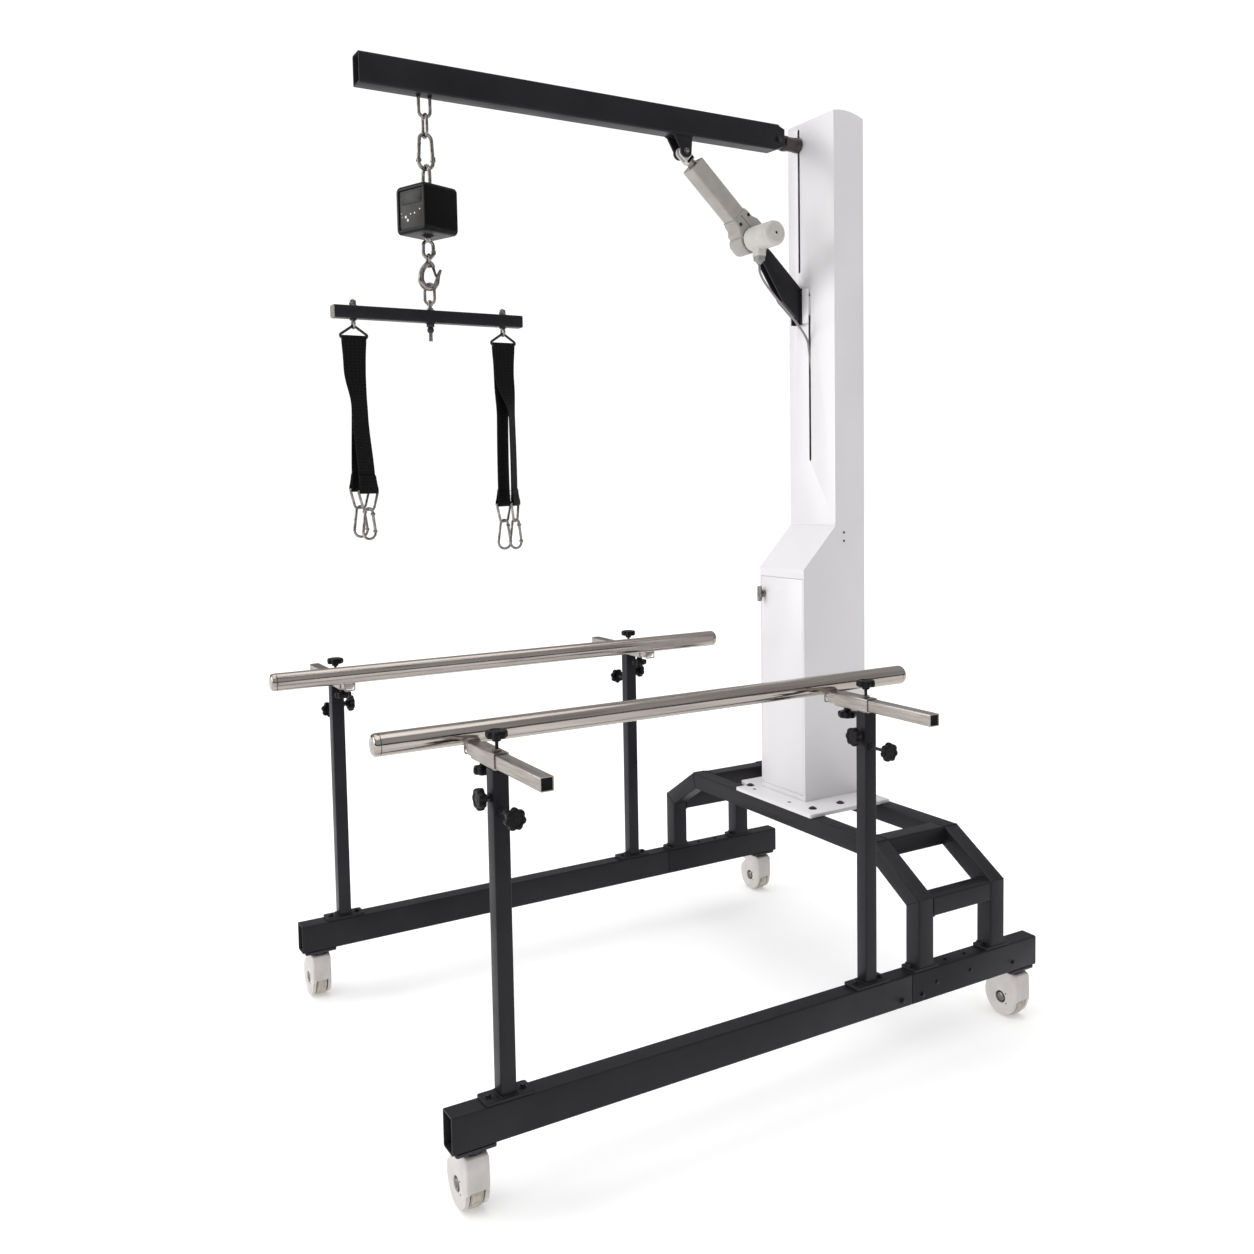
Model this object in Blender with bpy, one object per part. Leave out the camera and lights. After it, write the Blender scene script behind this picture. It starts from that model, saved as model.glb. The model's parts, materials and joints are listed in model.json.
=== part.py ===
# Gait trainer: a wheeled walking frame that straddles a walking user, with two
# adjustable handrails, and a lifting column whose boom carries a hanging scale,
# a spreader bar and two webbing straps.
# Metres, +Z up. Origin on the floor under the middle of the whole frame.
# +Y points to the column, -Y is the open end where the user walks in.
import math
import bpy
import bmesh
from mathutils import Matrix, Vector

for old in list(bpy.data.objects):
    bpy.data.objects.remove(old, do_unlink=True)

GAP = 0.0003                 # gap between pieces that touch

# Floor rails: rectangular steel tube, a front and a rear length on each side
RAIL_X = 0.5055              # rail centre line from the middle plane
RAIL_W = 0.043
RAIL_H = 0.070
RAIL_WALL = 0.003
RAIL_R = 0.004
RAIL_BOTTOM = 0.1256
RAIL_REAR_Y = 0.777
RAIL_REAR_LEN = 0.397
RAIL_FRONT_LEN = 1.080
SPIGOT_LEN = 0.060

# Casters
CASTER_INSET = 0.046         # swivel axis from the rail's end
CASTER_PLATE_L = 0.078
CASTER_PLATE_T = 0.006
CASTER_BOSS_R = 0.017
CASTER_BOSS_H = 0.007
CASTER_TRAIL = 0.024
WHEEL_R = 0.046
WHEEL_W = 0.024
WHEEL_EDGE = 0.005
AXLE_R = 0.005
AXLE_CLEAR = 0.0004
HOOD_CLEAR = 0.0025
HOOD_WALL = 0.0042
HOOD_W = 0.046
HOOD_CUT_Z = 0.030
HUB_R = 0.016
HUB_OUT = 0.0015
PEDAL_L = 0.020
PEDAL_W = 0.026
PEDAL_T = 0.005

# Uprights
POST_FRONT_INSET = 0.112     # front upright from the rail's front end
POST_REAR_Y = 0.267
POST_S = 0.031               # outer square
POST_WALL = 0.0020
POST_R = 0.003
FOOT_L = 0.096
FOOT_T = 0.006
SLEEVE_Z = 0.808             # centre height of the cross sleeves
SLEEVE_S = 0.030
SLEEVE_IN = 0.0855           # from the rail's centre line to the sleeve's inner end
SLEEVE_OUT = 0.0189          # and to its outer end
BAR_S = 0.025
BAR_R = 0.0025
BAR_SLANT = 0.028            # how far the bars' inner ends are cut back below
BAR_OUT = 0.1999             # slide bar's outer end from the rail's centre line
INNER_LEN = 0.330            # length of the inner post below its sleeve
NUT_R = 0.0075
NUT_H = 0.004

# Handrails
RAILING_IN = 0.1205          # handrail inwards of the floor rail
RAILING_R = 0.0212
RAILING_RISE = 0.026         # above the sleeves' centre
RAILING_FRONT_OUT = 0.189    # past the front upright
RAILING_REAR_OUT = 0.216     # past the rear upright
DOME_R = 0.007

# Star knobs
KNOB_R = 0.0205
KNOB_LOBE = 0.0028
KNOB_LOBES = 7
KNOB_H = 0.014
KNOB_HUB_R = 0.0085
KNOB_HUB_H = 0.006
SCREW_R = 0.0035
TOP_KNOB_IN = 0.0005         # inwards of the rail's centre line
TOP_SCREW = 0.013            # bare screw length under the top knobs
UNDER_KNOB_IN = 0.0605
UNDER_SCREW = 0.003
SIDE_KNOB_DROP = 0.090       # below the sleeves' centre
SIDE_SCREW = 0.038
FACE_KNOB_DROP = 0.066
FACE_SCREW = 0.003

# Bridge of square tube that carries the column
TUBE_S = 0.044
TUBE_R = 0.004
BRIDGE_FRONT_Y = 0.4012
BRIDGE_REAR_Y = 0.6694
BRIDGE_LEG_OUT = 0.0215      # outer face of the legs from the rail's centre line
BRIDGE_LEG_Z = 0.3564        # height of the knee at the leg's outer face
BRIDGE_SLOPE_X = 0.146       # width of the sloping part, knee to top corner
BRIDGE_TOP_Z = 0.4493
LEG_FOOT_L = 0.076

# Column
COLUMN_X = -0.030            # centre of the column and its plate
COLUMN_W = 0.185
COLUMN_FRONT_Y = 0.5623
COLUMN_REAR_Y = 0.6598
COLUMN_TOP_Z = 2.2175
COLUMN_CROWN = 0.005
COLUMN_WALL = 0.0025
CABINET_FRONT_Y = 0.4569
CABINET_TOP_Z = 1.0592
SHOULDER_TOP_Z = 1.1677
PLATE_T = 0.010
PLATE_LEFT_X = -0.205
PLATE_RIGHT_X = 0.158
PLATE_FRONT_Y = 0.3956
PLATE_REAR_Y = 0.6560
PLATE_NOTCH_X = 0.048
PLATE_NOTCH_Y = 0.052
PLATE_BOLT_R = 0.005
PLATE_BOLT_INSET = 0.040
DOOR_MARGIN = 0.0050
DOOR_BOTTOM_Z = 0.4735
DOOR_TOP_Z = 1.0345
DOOR_T = 0.0025
DOOR_GAP = 0.0007
DOOR_LIP = 0.012
SLOT_W = 0.0080
LUG_SLOT_X = -0.078
LUG_SLOT_DROP = 0.0135       # below the column's top
TAIL_SLOT_X = -0.038
TAIL_SLOT_BOTTOM_Z = 1.338
STROKE = 0.300               # travel of the lifting carriage
LATCH_Z = 0.987
LATCH_R = 0.0100
LATCH_T = 0.0125
LATCH_WING = 0.021
LATCH_INSET = 0.011

# Mast and carriage inside the column
MAST_W = 0.060
MAST_D = 0.030
MAST_REAR_GAP = 0.006
MAST_DROP = 0.0135           # below the column's top
CARRIAGE_W = 0.092
CARRIAGE_T = 0.014
CARRIAGE_FOOT = 0.016        # below the bracket
CARRIAGE_DROP = 0.0275       # below the column's top
CARRIAGE_CHEEK = 0.010
RUN_GAP = 0.0006

# Boom
BOOM_X = -0.078
BOOM_W = 0.0433
BOOM_H = 0.065
BOOM_WALL = 0.003
BOOM_R = 0.004
BOOM_BELOW_PIVOT = 0.0259
BOOM_FRONT_Y = -0.6189
BOOM_REAR_Y = 0.5022
BOOM_CHAMFER = 0.012
PIVOT_Y = 0.4844
PIVOT_BELOW_TOP = 0.0269     # below the carriage's top
PIVOT_R = 0.006
PIN_CLEAR = 0.0002
TONGUE_W = 0.030
TONGUE_H = 0.028
BARREL_R = 0.018
LUG_PIN_Y = 0.1987
LUG_PIN_DROP = 0.0372        # below the boom
LUG_T = 0.006
LUG_GAP = 0.026
LUG_R = 0.014
LUG_PIN_R = 0.005

# Linear actuator between the boom's lugs and the column bracket
ACT_PIVOT_Y = 0.4374
ACT_DROP = 0.2166            # lower pivot below the lug pin
ACT_TUBE_S = 0.046
ACT_TUBE_R = 0.007
ACT_TUBE_START = 0.066       # from the lower pivot, along the actuator
ACT_TUBE_END = 0.282
ROD_CLEAR = 0.0004             # the rod in its guide, all round
ROD_R = 0.0110
ROD_EYE_R = 0.0140
LUG_PLAY = 0.0011              # slack of the rod eye round the lug pin
ROD_EYE_W = 0.020
GEAR_L = 0.080
GEAR_W = 0.056
GEAR_H = 0.062
MOTOR_R = 0.0310
MOTOR_IN = 0.032              # motor's inner end, from the boom's plane
MOTOR_OUT = 0.128
MOTOR_ALONG = 0.0456
MOTOR_BELOW = 0.019
MOTOR_CAP = 0.012
TAIL_W = 0.014
TAIL_R = 0.011
TAIL_PIN_R = 0.005
PLUG_X = 0.054               # from the boom's plane
PLUG_R = 0.0080
PLUG_L = 0.036               # below the motor's lower side

# Bracket on the carriage that carries the actuator's lower end
BRACKET_GAP = 0.0160
BRACKET_T = 0.005
BRACKET_BACK_T = 0.006
BRACKET_STANDOFF = 0.004
BRACKET_DROP = 0.0934        # its top below the actuator's pivot
BRACKET_H = 0.094
BRACKET_STEP_Y = 0.060
BRACKET_STEP_Z = 0.058
BRACKET_FOOT = 0.015
BRACKET_TOE_Z = 0.019
TAIL_NECK_H = 0.050

# Cable from the motor into the lower slot
CABLE_R = 0.0030
CABLE_ENTRY_Z = 1.550         # where it has sunk into the slot
CABLE_SINK = 0.090            # from the slot's mouth down to there
CABLE_LEAD = 0.010            # straight out of the plug
CABLE_STEP = 0.016

# Hanging gear under the boom
HANG_Y = -0.4695
WIRE_R = 0.003
UBOLT_R = 0.013
UBOLT_DROP = 0.0466
LINK_H = 0.049
LINK_R = 0.012
CARABINER_R = 0.004
CARABINER_H = 0.0755
CARABINER_W = 0.017
SCALE_X = 0.098
SCALE_Y = 0.086
SCALE_H = 0.103
SCALE_R = 0.012
SCALE_GAP = 0.0477            # from the top shackle's wire down to the housing
STEM_H = 0.007               # swivel stem under the housing
STEM_R = 0.008
LOWER_LINK_W = 0.0115
LOWER_LINK_H = 0.037
LOWER_WIRE_R = 0.0035
HOOK_EYE_R = 0.0085
HOOK_R = 0.0055
HOOK_TURN = 0.017
HOOK_DROP = 0.0717           # from the top of the hook's eye to its lowest line
EYE_R = 0.011
EYE_STEM = 0.0363

# Spreader bar
SPREAD_LEN = 0.436
SPREAD_S = 0.027
SPREAD_R = 0.003
SPREAD_EYE_IN = 0.045        # end eyes from the bar's ends
SPREAD_EYE_R = 0.0085
SPREAD_EYE_DROP = 0.020
TRI_W = 0.058
TRI_H = 0.026
RING_WIRE_R = 0.0025

# Webbing straps and their snap links
WEB_W = 0.046
WEB_T = 0.0028
STRAP_DROP_FRONT = 0.329
STRAP_DROP_REAR = 0.368
STRAP_SPREAD = 0.013
TRAP_H = 0.040
TRAP_BOTTOM_W = 0.030
SNAP_H = 0.066
SNAP_W = 0.0145
SNAP_R = 0.003

RAIL_TOP = RAIL_BOTTOM + RAIL_H
RAIL_SEAM_Y = RAIL_REAR_Y - RAIL_REAR_LEN
RAIL_FRONT_Y = RAIL_SEAM_Y - RAIL_FRONT_LEN
POST_FRONT_Y = RAIL_FRONT_Y + POST_FRONT_INSET
SPREAD_EYE_Y = SPREAD_LEN / 2 - SPREAD_EYE_IN
SLEEVE_IN_X = RAIL_X - SLEEVE_IN
SLEEVE_OUT_X = RAIL_X + SLEEVE_OUT
BAR_OUT_X = RAIL_X + BAR_OUT
RAILING_X = RAIL_X - RAILING_IN
RAILING_Z = SLEEVE_Z + RAILING_RISE
TOP_KNOB_X = RAIL_X - TOP_KNOB_IN
UNDER_KNOB_X = RAIL_X - UNDER_KNOB_IN
SIDE_KNOB_Z = SLEEVE_Z - SIDE_KNOB_DROP
FACE_KNOB_Z = SLEEVE_Z - FACE_KNOB_DROP
BRIDGE_LEG_X = RAIL_X + BRIDGE_LEG_OUT
BRIDGE_TOP_X = BRIDGE_LEG_X - BRIDGE_SLOPE_X
LUG_SLOT_TOP_Z = COLUMN_TOP_Z - LUG_SLOT_DROP
MAST_TOP_Z = COLUMN_TOP_Z - MAST_DROP
CARRIAGE_TOP_Z = COLUMN_TOP_Z - CARRIAGE_DROP
RAILING_FRONT_Y = POST_FRONT_Y - RAILING_FRONT_OUT
RAILING_LEN = POST_REAR_Y + RAILING_REAR_OUT - RAILING_FRONT_Y
PIVOT_Z = CARRIAGE_TOP_Z - PIVOT_BELOW_TOP
BOOM_BOTTOM_Z = PIVOT_Z - BOOM_BELOW_PIVOT
LUG_PIN_Z = BOOM_BOTTOM_Z - LUG_PIN_DROP
ACT_PIVOT_Z = LUG_PIN_Z - ACT_DROP
BRACKET_TOP_Z = ACT_PIVOT_Z - BRACKET_DROP
BRACKET_BOTTOM_Z = BRACKET_TOP_Z - BRACKET_H
CARRIAGE_BOTTOM_Z = BRACKET_BOTTOM_Z - CARRIAGE_FOOT
FOOT_TOP = RAIL_TOP + FOOT_T
SLEEVE_BOTTOM = SLEEVE_Z - SLEEVE_S / 2
SLEEVE_TOP = SLEEVE_Z + SLEEVE_S / 2
POST_TOP = SLEEVE_BOTTOM - GAP


def material(name, color, rough, metal):
    mat = bpy.data.materials.new(name)
    mat.use_nodes = True
    node = mat.node_tree.nodes["Principled BSDF"]
    node.inputs["Base Color"].default_value = (color[0], color[1], color[2], 1.0)
    node.inputs["Roughness"].default_value = rough
    node.inputs["Metallic"].default_value = metal
    return mat


BLACK_STEEL = ((0.025, 0.024, 0.028), 0.42, 0.2)
WHITE_STEEL = ((0.86, 0.85, 0.86), 0.38, 0.0)
STAINLESS = ((0.60, 0.57, 0.55), 0.16, 1.0)
BRUSHED = ((0.50, 0.47, 0.45), 0.32, 1.0)
BLACK_PLASTIC = ((0.018, 0.018, 0.020), 0.45, 0.0)
GREY_PLASTIC = ((0.55, 0.54, 0.53), 0.40, 0.0)
WHITE_PLASTIC = ((0.80, 0.79, 0.78), 0.40, 0.0)
TREAD_RUBBER = ((0.45, 0.42, 0.38), 0.70, 0.0)
ZINC_STEEL = ((0.55, 0.55, 0.56), 0.30, 1.0)
WEBBING = ((0.020, 0.020, 0.022), 0.85, 0.0)


def finish(name, bm, look, origin=(0, 0, 0), smooth=True, tool=False):
    """Makes one object of a mesh built in world coordinates, with its own origin."""
    bmesh.ops.recalc_face_normals(bm, faces=bm.faces)
    origin = Vector(origin)
    bmesh.ops.translate(bm, verts=bm.verts, vec=-origin)
    me = bpy.data.meshes.new(name)
    bm.to_mesh(me)
    bm.free()
    if smooth:
        me.shade_smooth()
        me.set_sharp_from_angle(angle=math.radians(35))
    ob = bpy.data.objects.new(name, me)
    ob.location = origin
    bpy.context.scene.collection.objects.link(ob)
    if tool:
        ob.hide_render = True
        ob.display_type = "WIRE"
    else:
        me.materials.append(material(name, *look))
    return ob


def boolean(ob, tool, how):
    mod = ob.modifiers.new(how.lower(), "BOOLEAN")
    mod.operation = how
    mod.solver = "EXACT"
    mod.object = tool


def cut(ob, bm):
    boolean(ob, finish(ob.name + "_cutter", bm, None, ob.location, tool=True), "DIFFERENCE")


def add(ob, bm):
    boolean(ob, finish(ob.name + "_joined", bm, None, ob.location, tool=True), "UNION")


def rounded(w, h, r, n=2):
    """A rounded rectangle's outline, centred."""
    pts = []
    for k, (sx, sy) in enumerate(((1, 1), (-1, 1), (-1, -1), (1, -1))):
        for i in range(n + 1):
            a = math.pi / 2 * (k + i / n)
            pts.append((sx * (w / 2 - r) + r * math.cos(a), sy * (h / 2 - r) + r * math.sin(a)))
    return pts


def circle(r, n, cx=0.0, cy=0.0, start=0.0):
    return [(cx + r * math.cos(start + 2 * math.pi * i / n),
             cy + r * math.sin(start + 2 * math.pi * i / n)) for i in range(n)]


def spot(p, axis, t):
    if axis == "x":
        return Vector((t, p[0], p[1]))
    if axis == "y":
        return Vector((p[0], t, p[1]))
    return Vector((p[0], p[1], t))


def prism(outline, axis, a, b, bm=None):
    """Extrudes an outline along X (points y, z), Y (points x, z) or Z (points x, y)."""
    bm = bm or bmesh.new()
    low = [bm.verts.new(spot(p, axis, a)) for p in outline]
    high = [bm.verts.new(spot(p, axis, b)) for p in outline]
    n = len(outline)
    bm.faces.new(low)
    bm.faces.new(list(reversed(high)))
    for i in range(n):
        bm.faces.new((low[i], low[(i + 1) % n], high[(i + 1) % n], high[i]))
    return bm


def shifted(outline, dx, dy):
    return [(p[0] + dx, p[1] + dy) for p in outline]


def box(x0, x1, y0, y1, z0, z1):
    return prism([(x0, y0), (x1, y0), (x1, y1), (x0, y1)], "z", z0, z1)


def lathe(profile, centre, axis, n=20):
    """Turns a profile of (radius, position) pairs, closed on the axis at both ends."""
    bm = bmesh.new()
    rings = []
    for r, t in profile:
        if r < 1e-6:
            rings.append([bm.verts.new(turned(centre, axis, 0, 0, t))])
        else:
            rings.append([bm.verts.new(turned(centre, axis, r, 2 * math.pi * i / n, t))
                          for i in range(n)])
    for lo, hi in zip(rings, rings[1:]):
        for i in range(n):
            j = (i + 1) % n
            if len(lo) == 1:
                bm.faces.new((lo[0], hi[i], hi[j]))
            elif len(hi) == 1:
                bm.faces.new((lo[i], lo[j], hi[0]))
            else:
                bm.faces.new((lo[i], lo[j], hi[j], hi[i]))
    if len(rings[0]) > 1:
        bm.faces.new(list(reversed(rings[0])))
    if len(rings[-1]) > 1:
        bm.faces.new(rings[-1])
    return bm


def turned(centre, axis, r, angle, t):
    c, s = r * math.cos(angle), r * math.sin(angle)
    off = {"x": (t, c, s), "y": (s, t, c), "z": (c, s, t)}[axis]
    return Vector(centre) + Vector(off)


def wire(points, r, normal, closed=True, sides=6):
    """A round wire along points that lie in one plane with the given normal."""
    bm = bmesh.new()
    n = len(points)
    normal = Vector(normal).normalized()
    rings = []
    for i in range(n):
        here = Vector(points[i])
        before = Vector(points[i - 1]) if closed or i > 0 else None
        after = Vector(points[(i + 1) % n]) if closed or i < n - 1 else None
        d1 = (here - before).normalized() if before is not None else None
        d2 = (after - here).normalized() if after is not None else None
        d = ((d1 or d2) + (d2 or d1)).normalized()
        side = d.cross(normal).normalized()
        stretch = 1.0 / max(0.5, d.dot(d1 or d2))
        rings.append([bm.verts.new(here + side * (r * stretch * math.cos(2 * math.pi * (k + 0.5) / sides))
                                   + normal * (r * math.sin(2 * math.pi * (k + 0.5) / sides)))
                      for k in range(sides)])
    for i in range(n if closed else n - 1):
        lo, hi = rings[i], rings[(i + 1) % n]
        for k in range(sides):
            m = (k + 1) % sides
            bm.faces.new((lo[k], lo[m], hi[m], hi[k]))
    if not closed:
        bm.faces.new(list(reversed(rings[0])))
        bm.faces.new(rings[-1])
    return bm


def long_link(half_w, top, bottom, n=6):
    """Outline of a long link: two round ends joined by straight sides (side, height)."""
    pts = []
    for i in range(n + 1):
        a = math.pi * i / n
        pts.append((half_w * math.cos(a), top - half_w + half_w * math.sin(a)))
    for i in range(n + 1):
        a = math.pi + math.pi * i / n
        pts.append((half_w * math.cos(a), bottom + half_w + half_w * math.sin(a)))
    return pts


# Floor rails

def rail_shape(y0, y1):
    return prism(shifted(rounded(RAIL_W, RAIL_H, RAIL_R), 0, RAIL_BOTTOM + RAIL_H / 2), "y", y0, y1)


def rail_bore(y0, y1, inset):
    r = max(RAIL_R - inset, 0.0008)
    return prism(shifted(rounded(RAIL_W - 2 * inset, RAIL_H - 2 * inset, r),
                         0, RAIL_BOTTOM + RAIL_H / 2), "y", y0, y1)


def move(bm, dx=0.0, dy=0.0, dz=0.0):
    bmesh.ops.translate(bm, verts=bm.verts, vec=(dx, dy, dz))
    return bm


def caster_seat(x, y):
    """The black plate and boss under a rail that a caster swivels on."""
    bm = prism(shifted(rounded(RAIL_W, CASTER_PLATE_L, 0.004), x, y), "z",
               RAIL_BOTTOM - CASTER_PLATE_T, RAIL_BOTTOM + RAIL_WALL / 2)
    return bm, lathe([(CASTER_BOSS_R, RAIL_BOTTOM - CASTER_PLATE_T - CASTER_BOSS_H),
                      (CASTER_BOSS_R, RAIL_BOTTOM - CASTER_PLATE_T / 2)], (x, y, 0), "z", 20)


CASTER_FRONT_Y = RAIL_FRONT_Y + CASTER_INSET
CASTER_REAR_Y = RAIL_REAR_Y - CASTER_INSET
for side, sx in (("near", 1), ("far", -1)):
    x = sx * RAIL_X
    front = finish("front_rail_" + side, move(rail_shape(RAIL_FRONT_Y, RAIL_SEAM_Y), x), BLACK_STEEL)
    inset = RAIL_WALL + GAP
    add(front, move(rail_bore(RAIL_SEAM_Y - 0.020, RAIL_SEAM_Y + SPIGOT_LEN, inset), x))
    cut(front, move(rail_bore(RAIL_FRONT_Y + RAIL_WALL, RAIL_SEAM_Y - 0.010, RAIL_WALL), x))
    cut(front, move(rail_bore(RAIL_SEAM_Y - 0.015, RAIL_SEAM_Y + SPIGOT_LEN + 0.01, inset + RAIL_WALL), x))
    rear = finish("rear_rail_" + side, move(rail_shape(RAIL_SEAM_Y + GAP, RAIL_REAR_Y), x), BLACK_STEEL)
    cut(rear, move(rail_bore(RAIL_SEAM_Y - 0.01, RAIL_REAR_Y - RAIL_WALL, RAIL_WALL), x))
    for rail, y in ((front, CASTER_FRONT_Y), (rear, CASTER_REAR_Y)):
        for piece in caster_seat(x, y):
            add(rail, piece)

# Casters: the wheels stand rolled across, so each wheel's axle runs along Y

HOOD_TOP_Z = RAIL_BOTTOM - CASTER_PLATE_T - CASTER_BOSS_H - GAP
HOOD_R = WHEEL_R + HOOD_CLEAR + HOOD_WALL
for name, sx, y in (("near_front", 1, CASTER_FRONT_Y), ("near_rear", 1, CASTER_REAR_Y),
                    ("far_front", -1, CASTER_FRONT_Y), ("far_rear", -1, CASTER_REAR_Y)):
    xs = sx * RAIL_X
    xw = xs - CASTER_TRAIL
    outline = []
    steps = 16
    for i in range(steps + 1):
        a = math.radians(-20) + math.radians(220) * i / steps
        outline.append((xw + HOOD_R * math.cos(a), WHEEL_R + HOOD_R * math.sin(a)))
    crown = HOOD_TOP_Z
    shoulder = xs + CASTER_BOSS_R + 0.004
    top = [(shoulder, HOOD_CUT_Z + 0.020), (shoulder, crown - 0.006), (shoulder - 0.005, crown),
           (xs - CASTER_BOSS_R - 0.012, crown), (xw - HOOD_R * 0.62, WHEEL_R + HOOD_R * 0.60),
           (xw, WHEEL_R)]
    hood = finish("caster_hood_" + name, prism(outline, "y", y - HOOD_W / 2, y + HOOD_W / 2),
                  WHITE_PLASTIC, (xs, y, HOOD_TOP_Z))
    add(hood, prism(top, "y", y - HOOD_W / 2 + 0.003, y + HOOD_W / 2 - 0.003))
    cut(hood, lathe([(WHEEL_R + HOOD_CLEAR, -WHEEL_W / 2 - 0.0012), (WHEEL_R + HOOD_CLEAR, WHEEL_W / 2 + 0.0012)],
                    (xw, y, WHEEL_R), "y", 28))
    cut(hood, box(xw - 0.08, xw + 0.08, y - 0.05, y + 0.05, -0.05, HOOD_CUT_Z))
    add(hood, lathe([(AXLE_R, -HOOD_W / 2 + 0.002), (AXLE_R, HOOD_W / 2 - 0.002)], (xw, y, WHEEL_R), "y", 12))
    for s in (-1, 1):
        ends = sorted((s * (HOOD_W / 2 - 0.002), s * (HOOD_W / 2 + HUB_OUT)))
        add(hood, lathe([(HUB_R, ends[0]), (HUB_R, ends[1])], (xw, y, WHEEL_R), "y", 16))
    pedal_x = xw - HOOD_R * 0.80
    add(hood, prism([(pedal_x + 0.012, 0.083), (pedal_x - PEDAL_L + 0.006, 0.083 - 0.004),
                     (pedal_x - PEDAL_L + 0.004, 0.083 - 0.004 + PEDAL_T),
                     (pedal_x + 0.012, 0.083 + PEDAL_T + 0.006)], "y", y - PEDAL_W / 2, y + PEDAL_W / 2))
    half = WHEEL_W / 2
    rim = WHEEL_R - WHEEL_EDGE
    wheel = finish("caster_wheel_" + name,
                   lathe([(rim, -half), (WHEEL_R - 0.0012, -half + WHEEL_EDGE * 0.7), (WHEEL_R, -half * 0.35),
                          (WHEEL_R, half * 0.35), (WHEEL_R - 0.0012, half - WHEEL_EDGE * 0.7), (rim, half)],
                         (xw, y, WHEEL_R), "y", 32), TREAD_RUBBER, (xw, y, WHEEL_R))
    cut(wheel, lathe([(AXLE_R + AXLE_CLEAR, -half - 0.01), (AXLE_R + AXLE_CLEAR, half + 0.01)],
                     (xw, y, WHEEL_R), "y", 12))

# Star knobs


def knob_parts(point, axis, out, screw, seated=False):
    """A star knob whose screw starts at point and runs along axis in the direction out."""
    def at(t):
        return out * t
    base = -0.001 if seated else 0.0
    n = KNOB_LOBES * 4
    bm = bmesh.new()
    levels = ((0.90, screw + KNOB_HUB_H), (1.0, screw + KNOB_HUB_H + KNOB_H * 0.25),
              (1.0, screw + KNOB_HUB_H + KNOB_H * 0.75), (0.88, screw + KNOB_HUB_H + KNOB_H))
    rings = []
    for f, t in levels:
        ring = []
        for i in range(n):
            a = 2 * math.pi * i / n
            r = f * (KNOB_R - KNOB_LOBE + KNOB_LOBE * math.cos(KNOB_LOBES * a))
            ring.append(bm.verts.new(turned(point, axis, r, a, at(t))))
        rings.append(ring)
    for lo, hi in zip(rings, rings[1:]):
        for i in range(n):
            j = (i + 1) % n
            bm.faces.new((lo[i], lo[j], hi[j], hi[i]))
    bm.faces.new(list(reversed(rings[0])))
    bm.faces.new(rings[-1])
    hub = lathe([(KNOB_HUB_R * 0.8, at(screw)), (KNOB_HUB_R, at(screw + KNOB_HUB_H + 0.002))], point, axis, 14)
    shank = lathe([(SCREW_R, at(base)), (SCREW_R, at(screw + 0.002))], point, axis, 10)
    return bm, hub, shank


def knob(name, point, axis, out, screw):
    bm, hub, shank = knob_parts(point, axis, out, screw)
    ob = finish(name, bm, BLACK_PLASTIC, point)
    add(ob, hub)
    add(ob, shank)
    return ob


# Uprights with their inner posts, cross sleeves and knobs

for side, sx in (("near", 1), ("far", -1)):
    for place, y in (("front", POST_FRONT_Y), ("rear", POST_REAR_Y)):
        x = sx * RAIL_X
        tag = side + "_" + place
        post = finish("post_" + tag, move(prism(rounded(POST_S, POST_S, POST_R), "z", FOOT_TOP - 0.002, POST_TOP), x, y),
                      BLACK_STEEL)
        add(post, prism(shifted(rounded(RAIL_W, FOOT_L, 0.004), x, y), "z", RAIL_TOP + GAP, FOOT_TOP))
        bore = POST_S - 2 * POST_WALL
        cut(post, move(prism(rounded(bore, bore, POST_R - POST_WALL + 0.0005), "z", FOOT_TOP + 0.004, POST_TOP + 0.01), x, y))
        face = POST_S / 2
        add(post, lathe([(NUT_R, sx * (face - 0.001)), (NUT_R, sx * (face + NUT_H))], (x, y, SIDE_KNOB_Z), "x", 12))
        out = -1 if sx > 0 else 1
        add(post, lathe([(NUT_R, out * (face - 0.001)), (NUT_R, out * (face + NUT_H))], (x, y, FACE_KNOB_Z), "y", 12))
        for piece in knob_parts((x, y + out * (face + NUT_H), FACE_KNOB_Z), "y", out, FACE_SCREW, True):
            add(post, piece)
        knob("height_knob_" + tag, (x + sx * (face + NUT_H + GAP), y, SIDE_KNOB_Z), "x", sx, SIDE_SCREW)

        inner_s = bore - 2 * GAP
        inner = finish("inner_post_" + tag,
                       move(prism(rounded(inner_s, inner_s, 0.001), "z", SLEEVE_BOTTOM - INNER_LEN, SLEEVE_BOTTOM + 0.001), x, y),
                       BRUSHED, (x, y, SLEEVE_BOTTOM))
        ends = sorted((sx * SLEEVE_IN_X, sx * SLEEVE_OUT_X))
        add(inner, prism(shifted(rounded(SLEEVE_S, SLEEVE_S, 0.003), y, SLEEVE_Z), "x", ends[0], ends[1]))
        hole = BAR_S + 2 * GAP
        cut(inner, prism(shifted(rounded(hole, hole, BAR_R + GAP), y, SLEEVE_Z), "x", ends[0] - 0.01, ends[1] + 0.01))
        xk = sx * TOP_KNOB_X
        add(inner, lathe([(NUT_R, -0.001), (NUT_R, NUT_H)], (xk, y, SLEEVE_TOP), "z", 12))
        knob("clamp_knob_" + tag, (xk, y, SLEEVE_TOP + NUT_H + GAP), "z", 1, TOP_SCREW)
        xu = sx * UNDER_KNOB_X
        for piece in knob_parts((xu, y, SLEEVE_BOTTOM), "z", -1, UNDER_SCREW, True):
            add(inner, piece)

# Handrails: a stainless tube welded to two square slide bars

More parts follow.
